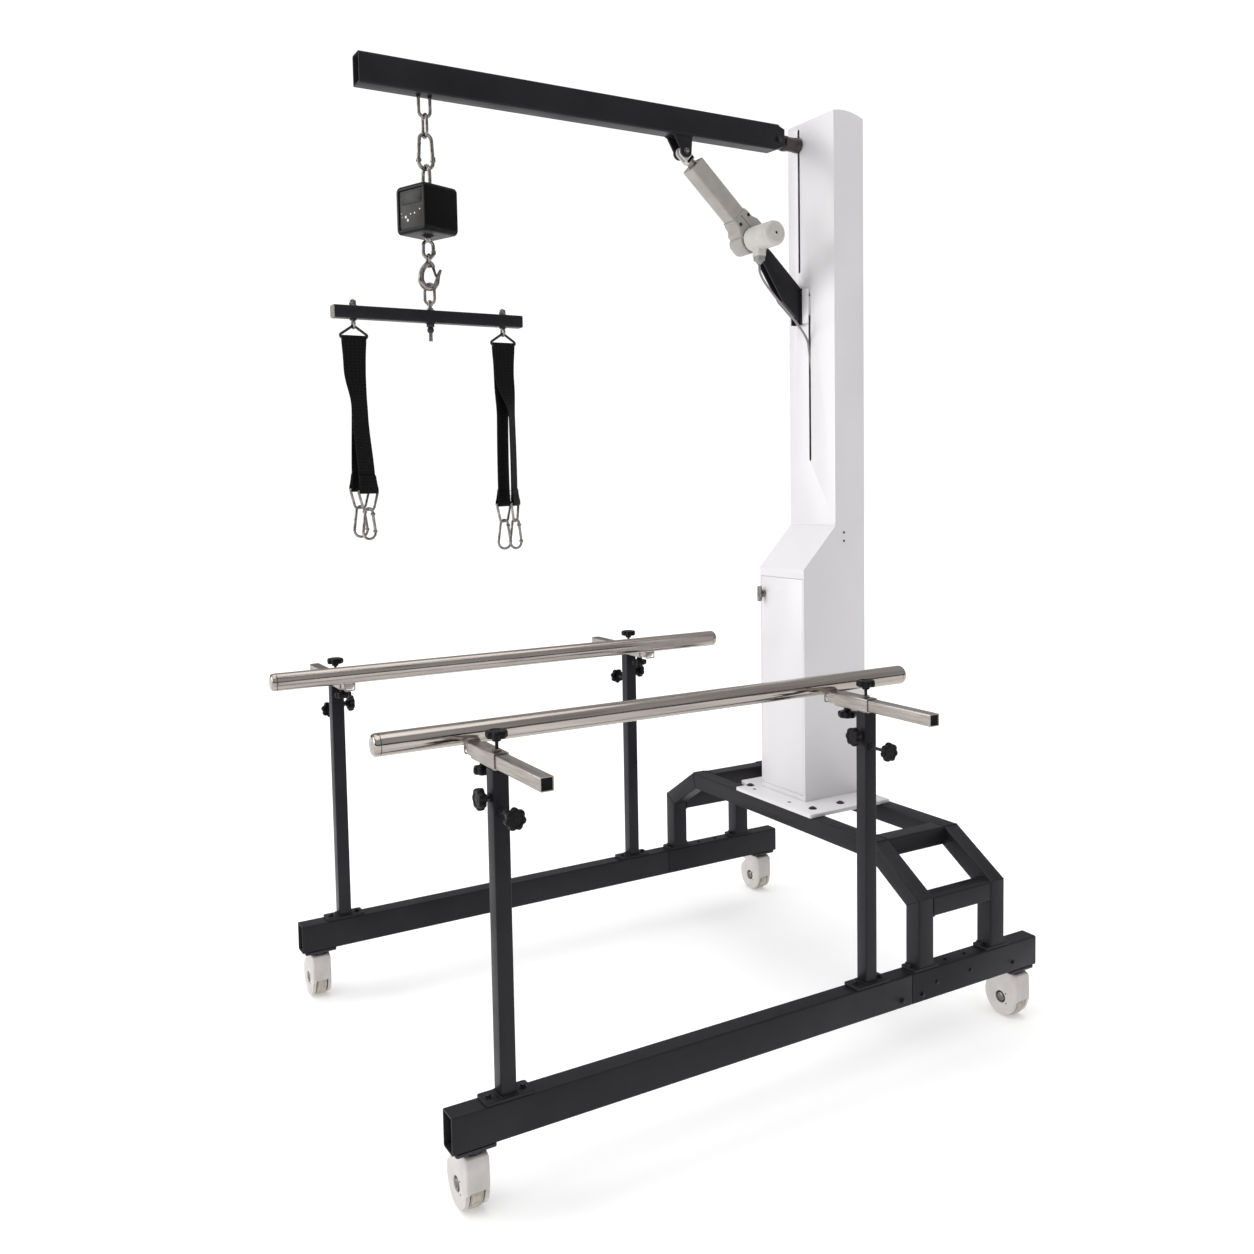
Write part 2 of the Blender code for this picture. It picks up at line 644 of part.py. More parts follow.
for side, sx in (("near", 1), ("far", -1)):
    x = sx * RAILING_X
    y0, y1 = RAILING_FRONT_Y, RAILING_FRONT_Y + RAILING_LEN
    prof = [(0, y0), (RAILING_R - DOME_R, y0)]
    for i in range(1, 4):
        a = math.pi / 2 * i / 3
        prof.append((RAILING_R - DOME_R + DOME_R * math.sin(a), y0 + DOME_R - DOME_R * math.cos(a)))
    prof += [(r, y0 + y1 - t) for r, t in reversed(prof)]
    rail = finish("handrail_" + side, lathe(prof, (x, 0, RAILING_Z), "y", 28), STAINLESS, (x, POST_REAR_Y, SLEEVE_Z))
    for y in (POST_FRONT_Y, POST_REAR_Y):
        ends = sorted((sx * RAILING_X, sx * BAR_OUT_X))
        bar = prism(shifted(rounded(BAR_S, BAR_S, BAR_R), y, SLEEVE_Z), "x", ends[0], ends[1])
        for v in bar.verts:
            if abs(v.co.x - sx * RAILING_X) < 1e-5:
                v.co.x += sx * (BAR_SLANT * (0.5 - (v.co.z - SLEEVE_Z) / BAR_S) - BAR_SLANT * 0.42)
        add(rail, bar)

# Bridge: two arches joined by four short bars


def offset_arch(t):
    """Half outline of an arch, t inside its outer line, from leg foot to middle (x, z)."""
    leg = BRIDGE_LEG_X - t
    top = BRIDGE_TOP_Z - t
    run = BRIDGE_LEG_X - BRIDGE_TOP_X
    rise = BRIDGE_TOP_Z - BRIDGE_LEG_Z
    length = math.hypot(run, rise)
    nx, nz = rise / length, run / length
    px, pz = BRIDGE_LEG_X - nx * t, BRIDGE_LEG_Z - nz * t
    knee = (leg, pz + (px - leg) * rise / run)
    apex = (px - (top - pz) * run / rise, top)
    return knee, apex


def arch_outline():
    k0, a0 = offset_arch(0.0)
    k1, a1 = offset_arch(TUBE_S)
    foot = FOOT_TOP - 0.001
    right = [(k0[0], foot), k0, a0]
    right_in = [a1, k1, (k1[0], foot)]
    mirror = [(-p[0], p[1]) for p in reversed(right)]
    mirror_in = [(-p[0], p[1]) for p in reversed(right_in)]
    return right + mirror + mirror_in + right_in


for place, y0 in (("front", BRIDGE_FRONT_Y), ("rear", BRIDGE_REAR_Y - TUBE_S)):
    arch = finish("bridge_arch_" + place, prism(arch_outline(), "y", y0, y0 + TUBE_S), BLACK_STEEL)
    for sx in (-1, 1):
        add(arch, prism(shifted(rounded(RAIL_W, LEG_FOOT_L, 0.004), sx * RAIL_X, y0 + TUBE_S / 2), "z",
                        RAIL_TOP + GAP, FOOT_TOP))
inner_y0 = BRIDGE_FRONT_Y + TUBE_S + GAP
inner_y1 = BRIDGE_REAR_Y - TUBE_S - GAP
tube_section = rounded(TUBE_S, TUBE_S, TUBE_R)
for side, sx in (("near", 1), ("far", -1)):
    finish("bridge_low_bar_" + side, prism(shifted(tube_section, sx * (BRIDGE_LEG_X - TUBE_S / 2),
                                                   BRIDGE_LEG_Z - TUBE_S / 2), "y", inner_y0, inner_y1), BLACK_STEEL)
    finish("bridge_top_bar_" + side, prism(shifted(tube_section, sx * (BRIDGE_TOP_X - TUBE_S / 2),
                                                   BRIDGE_TOP_Z - TUBE_S / 2), "y", inner_y0, inner_y1), BLACK_STEEL)

# Column: foot plate with the mast, cover, door and latch

PLATE_BOTTOM = BRIDGE_TOP_Z + GAP
PLATE_TOP = PLATE_BOTTOM + PLATE_T
plate = [(PLATE_LEFT_X + PLATE_NOTCH_X, PLATE_FRONT_Y), (PLATE_RIGHT_X, PLATE_FRONT_Y),
         (PLATE_RIGHT_X, PLATE_REAR_Y), (PLATE_LEFT_X, PLATE_REAR_Y),
         (PLATE_LEFT_X, PLATE_FRONT_Y + PLATE_NOTCH_Y),
         (PLATE_LEFT_X + PLATE_NOTCH_X, PLATE_FRONT_Y + PLATE_NOTCH_Y * 0.75)]
base = finish("column_base", prism(plate, "z", PLATE_BOTTOM, PLATE_TOP), WHITE_STEEL)
mast_y1 = COLUMN_REAR_Y - COLUMN_WALL - MAST_REAR_GAP
mast_y0 = mast_y1 - MAST_D
add(base, box(COLUMN_X - MAST_W / 2, COLUMN_X + MAST_W / 2, mast_y0, mast_y1, PLATE_TOP - 0.002, MAST_TOP_Z))
for bx, by in ((PLATE_LEFT_X + PLATE_BOLT_INSET * 1.45, PLATE_FRONT_Y + PLATE_BOLT_INSET),
               (PLATE_RIGHT_X - PLATE_BOLT_INSET, PLATE_FRONT_Y + PLATE_BOLT_INSET),
               (PLATE_RIGHT_X - PLATE_BOLT_INSET, (PLATE_FRONT_Y + PLATE_REAR_Y) / 2),
               (PLATE_RIGHT_X - PLATE_BOLT_INSET, PLATE_REAR_Y - PLATE_BOLT_INSET)):
    add(base, lathe([(PLATE_BOLT_R * 1.6, -0.001), (PLATE_BOLT_R * 1.5, 0.0025), (PLATE_BOLT_R * 0.8, 0.0048)],
                    (bx, by, PLATE_TOP), "z", 12))


def column_profile(t, bottom):
    """Side outline of the column cover, t inside its outer face (y, z)."""
    f, c, r = COLUMN_FRONT_Y + t, CABINET_FRONT_Y + t, COLUMN_REAR_Y - t
    drop = t * 0.35
    pts = [(c, bottom), (c, CABINET_TOP_Z - drop), (f, SHOULDER_TOP_Z - drop), (f, COLUMN_TOP_Z - t)]
    steps = 5
    for i in range(1, steps):
        u = i / steps
        z = COLUMN_TOP_Z + 2.0 * u * (1 - u) * 2 * COLUMN_CROWN - 0.010 * u * u
        pts.append((f + (r - f) * u, z - t))
    pts += [(r, COLUMN_TOP_Z - 0.010 - t), (r, bottom)]
    return pts


cover_bottom = PLATE_TOP + GAP
half_w = COLUMN_W / 2
cover = finish("column_cover", prism(column_profile(0.0, cover_bottom), "x", COLUMN_X - half_w, COLUMN_X + half_w),
               WHITE_STEEL)
cut(cover, prism(column_profile(COLUMN_WALL, cover_bottom - 0.02), "x",
                 COLUMN_X - half_w + COLUMN_WALL, COLUMN_X + half_w - COLUMN_WALL))
door_x0 = COLUMN_X - half_w + DOOR_MARGIN
door_x1 = COLUMN_X + half_w - DOOR_MARGIN
cut(cover, box(door_x0, door_x1, CABINET_FRONT_Y - 0.01, CABINET_FRONT_Y + COLUMN_WALL + 0.01, DOOR_BOTTOM_Z, DOOR_TOP_Z))


def slot(x, z0, z1, y0, y1):
    return prism(shifted(rounded(SLOT_W, z1 - z0, SLOT_W / 2 - 0.0001, 3), x, (z0 + z1) / 2), "y", y0, y1)


LUG_SLOT_BOTTOM_Z = PIVOT_Z - STROKE - BARREL_R - 0.012
BRACKET_MID_Z = (BRACKET_TOP_Z + BRACKET_BOTTOM_Z) / 2
cut(cover, slot(LUG_SLOT_X, LUG_SLOT_BOTTOM_Z, LUG_SLOT_TOP_Z, COLUMN_FRONT_Y - 0.01, COLUMN_FRONT_Y + COLUMN_WALL + 0.01))
cut(cover, slot(TAIL_SLOT_X, TAIL_SLOT_BOTTOM_Z, BRACKET_MID_Z + TAIL_NECK_H / 2 + 0.006,
                COLUMN_FRONT_Y - 0.01, COLUMN_FRONT_Y + COLUMN_WALL + 0.01))

hinge_x = door_x1 - DOOR_GAP
door = finish("column_door", box(door_x0 + DOOR_GAP, hinge_x, CABINET_FRONT_Y, CABINET_FRONT_Y + DOOR_T,
                                 DOOR_BOTTOM_Z + DOOR_GAP, DOOR_TOP_Z - DOOR_GAP), WHITE_STEEL,
              (hinge_x, CABINET_FRONT_Y, DOOR_BOTTOM_Z))
for z0, z1 in ((DOOR_BOTTOM_Z + 0.010, DOOR_BOTTOM_Z + 0.013), (DOOR_TOP_Z - 0.013, DOOR_TOP_Z - 0.010)):
    add(door, box(door_x0 + 0.010, hinge_x - 0.018, CABINET_FRONT_Y + DOOR_T - 0.0005,
                  CABINET_FRONT_Y + DOOR_T + DOOR_LIP, z0, z1))
latch_x = door_x0 + LATCH_INSET
cut(door, lathe([(LATCH_R * 0.6, -0.01), (LATCH_R * 0.6, DOOR_T + 0.01)], (latch_x, CABINET_FRONT_Y, LATCH_Z), "y", 14))
latch = finish("door_latch", lathe([(LATCH_R, -GAP - LATCH_T * 0.5), (LATCH_R, -GAP)],
                                   (latch_x, CABINET_FRONT_Y, LATCH_Z), "y", 18), BLACK_PLASTIC,
               (latch_x, CABINET_FRONT_Y, LATCH_Z))
add(latch, prism(shifted(rounded(0.0055, LATCH_WING * 2, 0.0025), latch_x, LATCH_Z), "y",
                 CABINET_FRONT_Y - GAP - LATCH_T * 1.6, CABINET_FRONT_Y - GAP - 0.001))
add(latch, lathe([(LATCH_R * 0.6 - PIN_CLEAR * 2, -GAP - 0.001), (LATCH_R * 0.6 - PIN_CLEAR * 2, DOOR_T + 0.003)],
                 (latch_x, CABINET_FRONT_Y, LATCH_Z), "y", 14))

# Lifting carriage: a long plate that rides on the mast, with the boom's tongue

car_y1 = mast_y0 - RUN_GAP
car_y0 = car_y1 - CARRIAGE_T
pivot = (BOOM_X, PIVOT_Y, PIVOT_Z)
carriage = finish("lift_carriage", box(COLUMN_X - CARRIAGE_W / 2, COLUMN_X + CARRIAGE_W / 2, car_y0, car_y1,
                                       CARRIAGE_BOTTOM_Z, CARRIAGE_TOP_Z), BLACK_STEEL, (COLUMN_X, mast_y0, CARRIAGE_BOTTOM_Z))
cheek = MAST_W / 2 + RUN_GAP
for s in (-1, 1):
    x0, x1 = sorted((COLUMN_X + s * cheek, COLUMN_X + s * (cheek + CARRIAGE_CHEEK)))
    add(carriage, box(x0, x1, car_y1 - 0.002, mast_y1 - 0.006, CARRIAGE_BOTTOM_Z, CARRIAGE_TOP_Z))
neck = SLOT_W / 2 - 0.0006
barrel_y1 = COLUMN_FRONT_Y - BRACKET_STANDOFF / 4
add(carriage, box(LUG_SLOT_X - neck, LUG_SLOT_X + neck, barrel_y1 - 0.004, car_y0 + 0.002, PIVOT_Z - BARREL_R, PIVOT_Z + BARREL_R))
add(carriage, lathe([(BARREL_R, BOOM_REAR_Y + 0.006), (BARREL_R, barrel_y1)], (BOOM_X, 0, PIVOT_Z), "y", 20))
add(carriage, prism([(PIVOT_Y - TONGUE_H / 2 * math.sin(a), PIVOT_Z + TONGUE_H / 2 * math.cos(a))
                     for a in [math.pi * i / 8 for i in range(9)]]
                    + [(BOOM_REAR_Y + 0.008, PIVOT_Z - TONGUE_H / 2), (BOOM_REAR_Y + 0.008, PIVOT_Z + TONGUE_H / 2)],
                    "x", BOOM_X - TONGUE_W / 2, BOOM_X + TONGUE_W / 2))
add(carriage, lathe([(PIVOT_R, -BOOM_W / 2 - 0.003), (PIVOT_R, BOOM_W / 2 + 0.003)], pivot, "x", 14))

# Bracket: two gusset cheeks on a back plate, with a tongue through the lower slot

back_y1 = COLUMN_FRONT_Y - BRACKET_STANDOFF
back_y0 = back_y1 - BRACKET_BACK_T
ear = [(ACT_PIVOT_Y + TAIL_R * math.cos(a), ACT_PIVOT_Z + TAIL_R * math.sin(a))
       for a in [math.radians(40 + 140 * i / 6) for i in range(7)]]
gusset = ear + [(ACT_PIVOT_Y - TAIL_R, ACT_PIVOT_Z - 0.020), (back_y1 - BRACKET_STEP_Y, BRACKET_BOTTOM_Z + BRACKET_STEP_Z),
                (back_y1 - BRACKET_FOOT, BRACKET_BOTTOM_Z + BRACKET_TOE_Z), (back_y1 - BRACKET_FOOT, BRACKET_BOTTOM_Z),
                (back_y1, BRACKET_BOTTOM_Z), (back_y1, BRACKET_TOP_Z),
                (ACT_PIVOT_Y + 0.024, ACT_PIVOT_Z - 0.005)]
act_pivot = (BOOM_X, ACT_PIVOT_Y, ACT_PIVOT_Z)
inner_half = BRACKET_GAP / 2
bracket = finish("actuator_bracket", prism(gusset, "x", BOOM_X + inner_half, BOOM_X + inner_half + BRACKET_T),
                 BLACK_STEEL, act_pivot)
add(bracket, prism(gusset, "x", BOOM_X - inner_half - BRACKET_T, BOOM_X - inner_half))
back_x1 = TAIL_SLOT_X + SLOT_W
add(bracket, box(BOOM_X - inner_half - BRACKET_T, back_x1, back_y0, back_y1, BRACKET_BOTTOM_Z, BRACKET_TOP_Z))
add(bracket, box(TAIL_SLOT_X - neck, TAIL_SLOT_X + neck, back_y1 - 0.001, car_y0 - GAP,
                 BRACKET_MID_Z - TAIL_NECK_H / 2, BRACKET_MID_Z + TAIL_NECK_H / 2))
add(bracket, lathe([(TAIL_PIN_R, -inner_half - BRACKET_T - 0.003), (TAIL_PIN_R, inner_half + BRACKET_T + 0.003)],
                   act_pivot, "x", 12))

# Boom: rectangular tube, open at its rear end round the tongue

boom_top = BOOM_BOTTOM_Z + BOOM_H
side_view = [(BOOM_FRONT_Y, BOOM_BOTTOM_Z + BOOM_R), (BOOM_FRONT_Y + BOOM_R, BOOM_BOTTOM_Z),
             (BOOM_REAR_Y - BOOM_CHAMFER, BOOM_BOTTOM_Z), (BOOM_REAR_Y, BOOM_BOTTOM_Z + BOOM_CHAMFER * 0.4),
             (BOOM_REAR_Y, boom_top - BOOM_CHAMFER * 0.4), (BOOM_REAR_Y - BOOM_CHAMFER, boom_top),
             (BOOM_FRONT_Y + BOOM_R, boom_top), (BOOM_FRONT_Y, boom_top - BOOM_R)]
boom = finish("boom", prism(side_view, "x", BOOM_X - BOOM_W / 2, BOOM_X + BOOM_W / 2), BLACK_STEEL, pivot)
cut(boom, box(BOOM_X - BOOM_W / 2 + BOOM_WALL, BOOM_X + BOOM_W / 2 - BOOM_WALL, BOOM_FRONT_Y + BOOM_WALL, BOOM_REAR_Y + 0.02,
              BOOM_BOTTOM_Z + BOOM_WALL, boom_top - BOOM_WALL))
cut(boom, lathe([(PIVOT_R + PIN_CLEAR, -BOOM_W), (PIVOT_R + PIN_CLEAR, BOOM_W)], pivot, "x", 14))
lug_pin = (BOOM_X, LUG_PIN_Y, LUG_PIN_Z)
lug = [(LUG_PIN_Y + LUG_R * math.cos(a), LUG_PIN_Z + LUG_R * math.sin(a))
       for a in [math.radians(-180 + 180 * i / 8) for i in range(9)]]
lug += [(LUG_PIN_Y + LUG_R + 0.004, BOOM_BOTTOM_Z + BOOM_WALL / 2), (LUG_PIN_Y - LUG_R - 0.022, BOOM_BOTTOM_Z + BOOM_WALL / 2)]
for s in (-1, 1):
    x0, x1 = sorted((BOOM_X + s * LUG_GAP / 2, BOOM_X + s * (LUG_GAP / 2 + LUG_T)))
    add(boom, prism(lug, "x", x0, x1))
add(boom, lathe([(LUG_PIN_R, -LUG_GAP / 2 - LUG_T - 0.003), (LUG_PIN_R, LUG_GAP / 2 + LUG_T + 0.003)], lug_pin, "x", 12))
ubolt_z = BOOM_BOTTOM_Z - UBOLT_DROP
ubolt = [(BOOM_X, HANG_Y - UBOLT_R, BOOM_BOTTOM_Z + BOOM_WALL / 2)]
ubolt += [(BOOM_X, HANG_Y + UBOLT_R * math.cos(a), ubolt_z + UBOLT_R + UBOLT_R * math.sin(a))
          for a in [math.pi + math.pi * i / 8 for i in range(9)]]
ubolt += [(BOOM_X, HANG_Y + UBOLT_R, BOOM_BOTTOM_Z + BOOM_WALL / 2)]
add(boom, wire(ubolt, WIRE_R, (1, 0, 0), closed=False, sides=8))

# Actuator: built along its own axis, then turned to aim at the boom's lugs

aim = math.atan2(LUG_PIN_Z - ACT_PIVOT_Z, LUG_PIN_Y - ACT_PIVOT_Y)
reach = math.hypot(LUG_PIN_Z - ACT_PIVOT_Z, LUG_PIN_Y - ACT_PIVOT_Y)


def along(bm):
    """Turns a shape drawn with the actuator's axis along +Y at the origin into place."""
    bm.transform(Matrix.Translation(act_pivot) @ Matrix.Rotation(aim, 4, "X"))
    return bm


actuator = finish("actuator_body", along(prism(rounded(ACT_TUBE_S, ACT_TUBE_S, ACT_TUBE_R, 3), "y",
                                               ACT_TUBE_START, ACT_TUBE_END)), GREY_PLASTIC, act_pivot)
add(actuator, along(prism(rounded(GEAR_W, GEAR_H, 0.010, 3), "y", ACT_TUBE_START - GEAR_L * 0.45, ACT_TUBE_START + GEAR_L * 0.55)))
cut(actuator, along(lathe([(ROD_R + ROD_CLEAR, ACT_TUBE_START + 0.010), (ROD_R + ROD_CLEAR, ACT_TUBE_END + 0.02)], (0, 0, 0), "y", 18)))
tail = [(TAIL_R * math.cos(a), TAIL_R * math.sin(a)) for a in [math.radians(90 + 180 * i / 8) for i in range(9)]]
tail += [(ACT_TUBE_START - GEAR_L * 0.40, -TAIL_R), (ACT_TUBE_START - GEAR_L * 0.40, TAIL_R)]
add(actuator, along(prism(tail, "x", -TAIL_W / 2, TAIL_W / 2)))
cut(actuator, lathe([(TAIL_PIN_R + PIN_CLEAR, -TAIL_W), (TAIL_PIN_R + PIN_CLEAR, TAIL_W)], act_pivot, "x", 12))
motor = [(MOTOR_R, -MOTOR_IN), (MOTOR_R, MOTOR_OUT - MOTOR_CAP)]
for i in range(1, 4):
    a = math.pi / 2 * i / 3
    motor.append((MOTOR_R - MOTOR_CAP + MOTOR_CAP * math.cos(a), MOTOR_OUT - MOTOR_CAP + MOTOR_CAP * math.sin(a)))
add(actuator, along(lathe(motor, (0, MOTOR_ALONG, MOTOR_BELOW), "x", 24)))
motor_c = Vector(act_pivot) + Matrix.Rotation(aim, 3, "X") @ Vector((0, MOTOR_ALONG, MOTOR_BELOW))
plug_c = motor_c + Vector((PLUG_X, 0, 0))
plug_low = plug_c.z - MOTOR_R - PLUG_L
add(actuator, lathe([(PLUG_R * 0.8, plug_low), (PLUG_R, plug_low + PLUG_L * 0.3), (PLUG_R, plug_c.z - MOTOR_R * 0.8)],
                    (plug_c.x, plug_c.y, 0), "z", 14))

rod = finish("actuator_rod", along(lathe([(ROD_R, ACT_TUBE_START + 0.025), (ROD_R, reach - ROD_EYE_R * 0.6)], (0, 0, 0), "y", 16)),
             ZINC_STEEL, lug_pin)
add(rod, lathe([(ROD_EYE_R, -ROD_EYE_W / 2), (ROD_EYE_R, ROD_EYE_W / 2)], lug_pin, "x", 18))
cut(rod, lathe([(LUG_PIN_R + LUG_PLAY, -ROD_EYE_W), (LUG_PIN_R + LUG_PLAY, ROD_EYE_W)], lug_pin, "x", 16))

# Hanging gear: link, snap carabiner, crane scale, swivel hook


def ring_xz(half_w, top, bottom, r, y=HANG_Y, x=BOOM_X, n=6):
    return wire([(x + s, y, h) for s, h in long_link(half_w, top, bottom, n)], r, (0, 1, 0))


def ring_yz(half_w, top, bottom, r, y=HANG_Y, x=BOOM_X, n=6):
    return wire([(x, y + s, h) for s, h in long_link(half_w, top, bottom, n)], r, (1, 0, 0))


link_top = ubolt_z + 2 * WIRE_R + GAP
link_bottom = link_top - LINK_H
finish("hanging_link", ring_xz(LINK_R, link_top, link_bottom, WIRE_R), ZINC_STEEL, (BOOM_X, HANG_Y, ubolt_z))
carabiner_top = link_bottom + WIRE_R + CARABINER_R + GAP
carabiner_bottom = carabiner_top - CARABINER_H
finish("carabiner", ring_yz(CARABINER_W, carabiner_top, carabiner_bottom, CARABINER_R), ZINC_STEEL,
       (BOOM_X, HANG_Y, carabiner_top))
shackle_top = carabiner_bottom + CARABINER_R + WIRE_R + GAP
scale_top = shackle_top - SCALE_GAP
scale_bottom = scale_top - SCALE_H
housing = prism(shifted(rounded(SCALE_X, SCALE_Y, SCALE_R, 3), BOOM_X, HANG_Y), "z", scale_bottom, scale_top)
scale = finish("crane_scale", housing, BLACK_PLASTIC, (BOOM_X, HANG_Y, shackle_top))
bev = scale.modifiers.new("soft_edges", "BEVEL")
bev.width = SCALE_R / 3
bev.segments = 1
bev.limit_method = "ANGLE"
bev.angle_limit = math.radians(60)
add(scale, ring_xz(LINK_R, shackle_top, scale_top - LINK_R * 0.6, WIRE_R))
add(scale, lathe([(STEM_R * 1.5, scale_bottom - STEM_H * 0.5), (STEM_R * 1.5, scale_bottom + 0.001)],
                 (BOOM_X, HANG_Y, 0), "z", 14))

lower_top = scale_bottom - STEM_H * 0.5 - STEM_H
lower_bottom = lower_top - LOWER_LINK_H
lower = finish("lower_link", ring_yz(LOWER_LINK_W, lower_top, lower_bottom, LOWER_WIRE_R), ZINC_STEEL,
               (BOOM_X, HANG_Y, scale_bottom))
add(lower, lathe([(STEM_R, lower_top - LOWER_WIRE_R * 0.5), (STEM_R, scale_bottom - STEM_H * 0.5 - GAP)],
                 (BOOM_X, HANG_Y, 0), "z", 14))

hook_top = lower_bottom + LOWER_WIRE_R + WIRE_R + GAP
hook_low = hook_top - HOOK_DROP
hook_mid = hook_low + HOOK_TURN
shank_top = hook_top - 2 * HOOK_EYE_R
hook_pts = [(BOOM_X, HANG_Y, shank_top - WIRE_R), (BOOM_X, HANG_Y, hook_mid + HOOK_TURN * 1.15),
            (BOOM_X, HANG_Y + HOOK_TURN * 0.75, hook_mid + HOOK_TURN * 0.62)]
hook_pts += [(BOOM_X, HANG_Y + HOOK_TURN * math.cos(a), hook_mid + HOOK_TURN * math.sin(a))
             for a in [math.radians(15 - 190 * i / 10) for i in range(11)]]
hook = finish("swivel_hook", wire(hook_pts, HOOK_R, (1, 0, 0), closed=False, sides=8), ZINC_STEEL, (BOOM_X, HANG_Y, hook_top))
add(hook, wire([(BOOM_X + s, HANG_Y, h) for s, h in circle(HOOK_EYE_R, 12, 0, hook_top - HOOK_EYE_R)], WIRE_R, (0, 1, 0)))
add(hook, lathe([(HOOK_R, shank_top - WIRE_R * 2), (HOOK_R, shank_top + WIRE_R * 0.4)], (BOOM_X, HANG_Y, 0), "z", 14))

# Spreader bar with its centre eye and two end eyes

eye_top = hook_low + HOOK_R + WIRE_R + GAP
eye_low = eye_top - 2 * EYE_R
bar_top = eye_low - EYE_STEM
bar_mid = bar_top - SPREAD_S / 2
hang_point = (BOOM_X, HANG_Y, hook_low)
spreader = finish("spreader_bar", prism(shifted(rounded(SPREAD_S, SPREAD_S, SPREAD_R), BOOM_X, bar_mid), "y",
                                        HANG_Y - SPREAD_LEN / 2, HANG_Y + SPREAD_LEN / 2), BLACK_STEEL, hang_point)
add(spreader, wire([(BOOM_X + s, HANG_Y, h) for s, h in circle(EYE_R, 12, 0, eye_top - EYE_R)], WIRE_R, (0, 1, 0)))
add(spreader, lathe([(WIRE_R * 1.3, bar_top - 0.002), (WIRE_R * 1.3, eye_low + 0.001)], (BOOM_X, HANG_Y, 0), "z", 10))
add(spreader, lathe([(0.007, bar_top - SPREAD_S - 0.007), (0.007, bar_top - SPREAD_S + 0.002)], (BOOM_X, HANG_Y, 0), "z", 6))
end_eye_z = bar_mid - SPREAD_S / 2 - SPREAD_EYE_DROP
for s in (-1, 1):
    ye = HANG_Y + s * SPREAD_EYE_Y
    add(spreader, wire([(BOOM_X + p, ye, h) for p, h in circle(SPREAD_EYE_R, 10, 0, end_eye_z + SPREAD_EYE_R)],
                       RING_WIRE_R, (0, 1, 0)))
    add(spreader, lathe([(RING_WIRE_R * 1.3, end_eye_z + SPREAD_EYE_R * 2 - 0.001), (RING_WIRE_R * 1.3, bar_top + 0.006)],
                        (BOOM_X, ye, 0), "z", 8))
    add(spreader, lathe([(0.0065, bar_top - 0.001), (0.0065, bar_top + 0.005)], (BOOM_X, ye, 0), "z", 6))

# Straps: each a webbing loop over a triangular ring, with a snap link at each lower end


def ribbon(top_z, low_z, r_in):
    """The loop's outline across the webbing (x, z): up one leg, over the ring, down the other."""
    mid = WEB_T / 2
    line = []
    hang = low_z + 0.012
    for sgn in (-1, 1):
        leg = [(sgn * (STRAP_SPREAD - mid), hang), (sgn * (STRAP_SPREAD - mid) * 0.72, hang + (top_z - hang) * 0.35),
               (sgn * (r_in + mid + 0.0012), top_z - 0.060), (sgn * (r_in + mid), top_z - 0.004)]
        line.append(leg)
    arc = [((r_in + mid) * math.cos(a), top_z + (r_in + mid) * math.sin(a)) for a in [math.pi - math.pi * i / 6 for i in range(7)]]
    return line[0] + arc + list(reversed(line[1]))


def band(points, half):
    """Thickens an open line in a plane to a closed outline."""
    left, right = [], []
    n = len(points)
    for i in range(n):
        a, b = points[max(i - 1, 0)], points[min(i + 1, n - 1)]
        dx, dz = b[0] - a[0], b[1] - a[1]
        m = math.hypot(dx, dz)
        left.append((points[i][0] - dz / m * half, points[i][1] + dx / m * half))
        right.append((points[i][0] + dz / m * half, points[i][1] - dx / m * half))
    return left + list(reversed(right))


